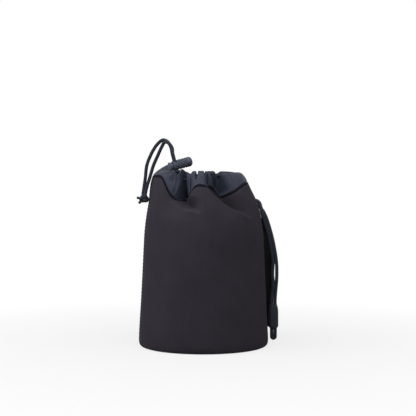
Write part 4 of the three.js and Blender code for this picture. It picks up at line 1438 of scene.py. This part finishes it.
class LENSPOUCH_OT_cord_lock(bpy.types.Operator):
    """Mould the cord lock's barrel and plunger, and wind its spring"""

    bl_idname = "lenspouch.cord_lock"
    bl_label = "Cord lock"

    def execute(self, context):
        lock = lock_frame(pouch_form())
        self.barrel(lock)
        self.plunger(lock)
        self.spring(lock)
        return {"FINISHED"}

    def turned_along(self, name, profile, lock, knurl=None):
        """A piece whose profile of stations and radii is turned round the lock's axis."""
        profile = np.asarray(profile)
        angle = np.linspace(0, 2 * math.pi, 97)
        station, radius = np.broadcast_arrays(profile[:, :1], profile[:, 1:], angle)[:2]
        if knurl is not None:
            radius = radius + knurl(station, angle)
        points = np.stack([station, radius * np.cos(angle), radius * np.sin(angle)], axis=-1)
        return grid_piece(name, lock.place(points, lock.rise), "lock_plastic", outwards=True)

    def barrel(self, lock):
        dome = [
            (lock.round_end - LOCK_DOME * (1 - math.sin(a)), LOCK_RADIUS * math.cos(a) ** LOCK_DOME_POWER)
            for a in quarter_turn(9)[:-1]
        ]
        side = [(x, LOCK_RADIUS) for x in np.linspace(lock.mouth + LOCK_EDGE, lock.round_end - LOCK_DOME, 64)[:-1]]
        inside = [(x, lock.cavity_radius) for x in np.linspace(lock.cavity_end, lock.mouth, 8)]
        profile = [(lock.cavity_end, 0.0)] + inside + [(lock.mouth, LOCK_RADIUS - LOCK_EDGE)]
        profile += side + dome + [(lock.round_end, 0.0)]
        first, last = lock.mouth + KNURL_START, lock.round_end - KNURL_END

        def knurl(x, angle):
            band = smoothstep(x, first, first + KNURL_FADE) * (1 - smoothstep(x, last - KNURL_FADE, last))
            dimples = np.cos(KNURL_COUNT * angle) * np.cos(2 * math.pi * (x - first) / KNURL_PITCH)
            return KNURL_DEPTH * band * (dimples - KNURL_SINK)

        piece = self.turned_along("cord_lock_sleeve", profile, lock, knurl)
        cut_slot(piece, lock, -lock.cord_room, lock.cord_room)
        seat_piece(piece, "cord_lock", "plastic", "cord_lock_barrel")

    def plunger(self, lock):
        head = lock.head_end + PLUNGER_HEAD
        profile = [(lock.head_end, r) for r in np.linspace(0, PLUNGER_RADIUS - LOCK_EDGE, 6)]
        profile += [
            (lock.head_end + LOCK_EDGE * (1 - math.cos(a)), PLUNGER_RADIUS - LOCK_EDGE * (1 - math.sin(a)))
            for a in quarter_turn(6)[1:]
        ]
        profile += [(head - PLUNGER_CHAMFER, PLUNGER_RADIUS), (head, PLUNGER_RADIUS - PLUNGER_CHAMFER)]
        profile += [(x, lock.stem_radius) for x in np.linspace(head, lock.stem_end, 20)]
        profile += [(lock.stem_end, 0.0)]
        piece = self.turned_along("cord_lock_button", profile, lock)
        cut_slot(piece, lock, -lock.cord_room - PLUNGER_TRAVEL, lock.cord_room)
        seat_piece(piece, "lock_plunger", "plastic", "cord_lock_plunger")

    def spring(self, lock):
        seat = CLEARANCE + 0.5 * SPRING_WIRE
        start, end = lock.stem_end + seat, lock.cavity_end - seat
        t = np.linspace(0, 1, SPRING_TURNS * 36 + 1)
        angle = 2 * math.pi * SPRING_TURNS * t
        coil = np.stack([
            start + (end - start) * t, SPRING_RADIUS * np.cos(angle), SPRING_RADIUS * np.sin(angle)], axis=1)
        line = lock.place(coil, lock.rise)
        piece = cord_piece("cord_lock_coil", line, 0.5 * SPRING_WIRE, SMOOTH_WIRE, "spring_steel")
        seat_piece(piece, "cord_lock", "steel", "cord_lock_spring")
        anchor = lock.place((lock.cavity_end, 0, 0), lock.rise)
        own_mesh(piece)


class LENSPOUCH_OT_belt_loop(bpy.types.Operator):
    """Sew the flat webbing belt loop to the side of the wall"""

    bl_idname = "lenspouch.belt_loop"
    bl_label = "Belt loop"

    def execute(self, context):
        form = pouch_form()
        stand = float(form.wall_radius(LOOP_MIDDLE)) + LOOP_GAP + 0.5 * LOOP_THICKNESS
        low, high = LOOP_BOTTOM + LOOP_SEWN, LOOP_TOP - LOOP_TOP_SEWN

        def reach(z):
            on_wall = form.wall_radius(z) + CLEARANCE + 0.5 * LOOP_THICKNESS
            off = smoothstep(z, low, low + LOOP_RAMP) * (1 - smoothstep(z, high - LOOP_TOP_RAMP, high))
            return on_wall + (stand - on_wall) * off

        z = np.linspace(LOOP_BOTTOM, LOOP_TOP, 180)
        line = around(LOOP_AZIMUTH, reach(z), z)
        side = around(LOOP_AZIMUTH + 90, 1.0, 0.0)
        tangent = unit(np.gradient(line, axis=0))
        normal = unit(np.cross(side, tangent))
        section = rounded_section(0.5 * LOOP_WIDTH, 0.5 * LOOP_THICKNESS, power=7.0, count=160)
        section[:, 1] *= 1 + LOOP_RIB_DEPTH * np.cos(2 * math.pi * section[:, 0] / LOOP_RIB_PITCH)
        grid = sweep(line, each_point(side, line), normal, section)
        piece = grid_piece("belt_loop_webbing", grid, "ribbed_webbing", fill_ends=True, outwards=True)
        seat_piece(piece, "pouch", "webbing", "belt_loop")
        for name, bottom, top in (("lower", LOOP_BOTTOM, low), ("upper", high, LOOP_TOP)):
            self.box_stitch(name, bottom + LOOP_STITCH_MARGIN, top - LOOP_STITCH_MARGIN, reach, side)
        return {"FINISHED"}

    def box_stitch(self, name, bottom, top, reach, side):
        """A sewn rectangle with crossed diagonals on a sewn end."""
        half = 0.5 * LOOP_WIDTH - LOOP_STITCH_INSET
        corners = [(-half, bottom), (half, bottom), (half, top), (-half, top), (-half, bottom), (half, top)]
        legs = list(zip(corners[:-1], corners[1:])) + [((half, bottom), (-half, top))]
        outward = around(LOOP_AZIMUTH, 1.0, 0.0)
        for i, (start, end) in enumerate(legs):
            across, z = np.linspace(start, end, 24).T
            line = around(LOOP_AZIMUTH, reach(z) + LOOP_STITCH_LIFT * LOOP_THICKNESS, z) + across[:, None] * side
            sew(f"belt_{name}_stitches_{i + 1}", line, each_point(outward, line), BELT_STITCH)


class LENSPOUCH_PT_panel(bpy.types.Panel):
    """Buttons that make the pouch's pieces"""

    bl_idname = "LENSPOUCH_PT_panel"
    bl_label = "Lens pouch"
    bl_space_type = "VIEW_3D"
    bl_region_type = "UI"
    bl_category = "Lens pouch"

    def draw(self, context):
        layout = self.layout
        for group in (context.scene.lens_pouch_sizes, context.scene.lens_pouch_colours):
            for name in group.bl_rna.properties.keys():
                if name not in ("rna_type", "name"):
                    layout.prop(group, name)
        for operator in OPERATORS:
            layout.operator(operator.bl_idname)


OPERATORS = (
    LENSPOUCH_OT_stage,
    LENSPOUCH_OT_drawstring,
    LENSPOUCH_OT_carry_cord,
    LENSPOUCH_OT_wall,
    LENSPOUCH_OT_floor,
    LENSPOUCH_OT_collar,
    LENSPOUCH_OT_cord_lock,
    LENSPOUCH_OT_belt_loop,
)
CLASSES = (PouchSizes, PouchColours, *OPERATORS, LENSPOUCH_PT_panel)


def register():
    for cls in CLASSES:
        bpy.utils.register_class(cls)
    bpy.types.Scene.lens_pouch_sizes = bpy.props.PointerProperty(type=PouchSizes)
    bpy.types.Scene.lens_pouch_colours = bpy.props.PointerProperty(type=PouchColours)


def unregister():
    del bpy.types.Scene.lens_pouch_colours
    del bpy.types.Scene.lens_pouch_sizes
    for cls in reversed(CLASSES):
        bpy.utils.unregister_class(cls)


def main():
    register()
    for operator in OPERATORS:
        module, name = operator.bl_idname.split(".")
        getattr(getattr(bpy.ops, module), name)()


if __name__ == "__main__":
    main()
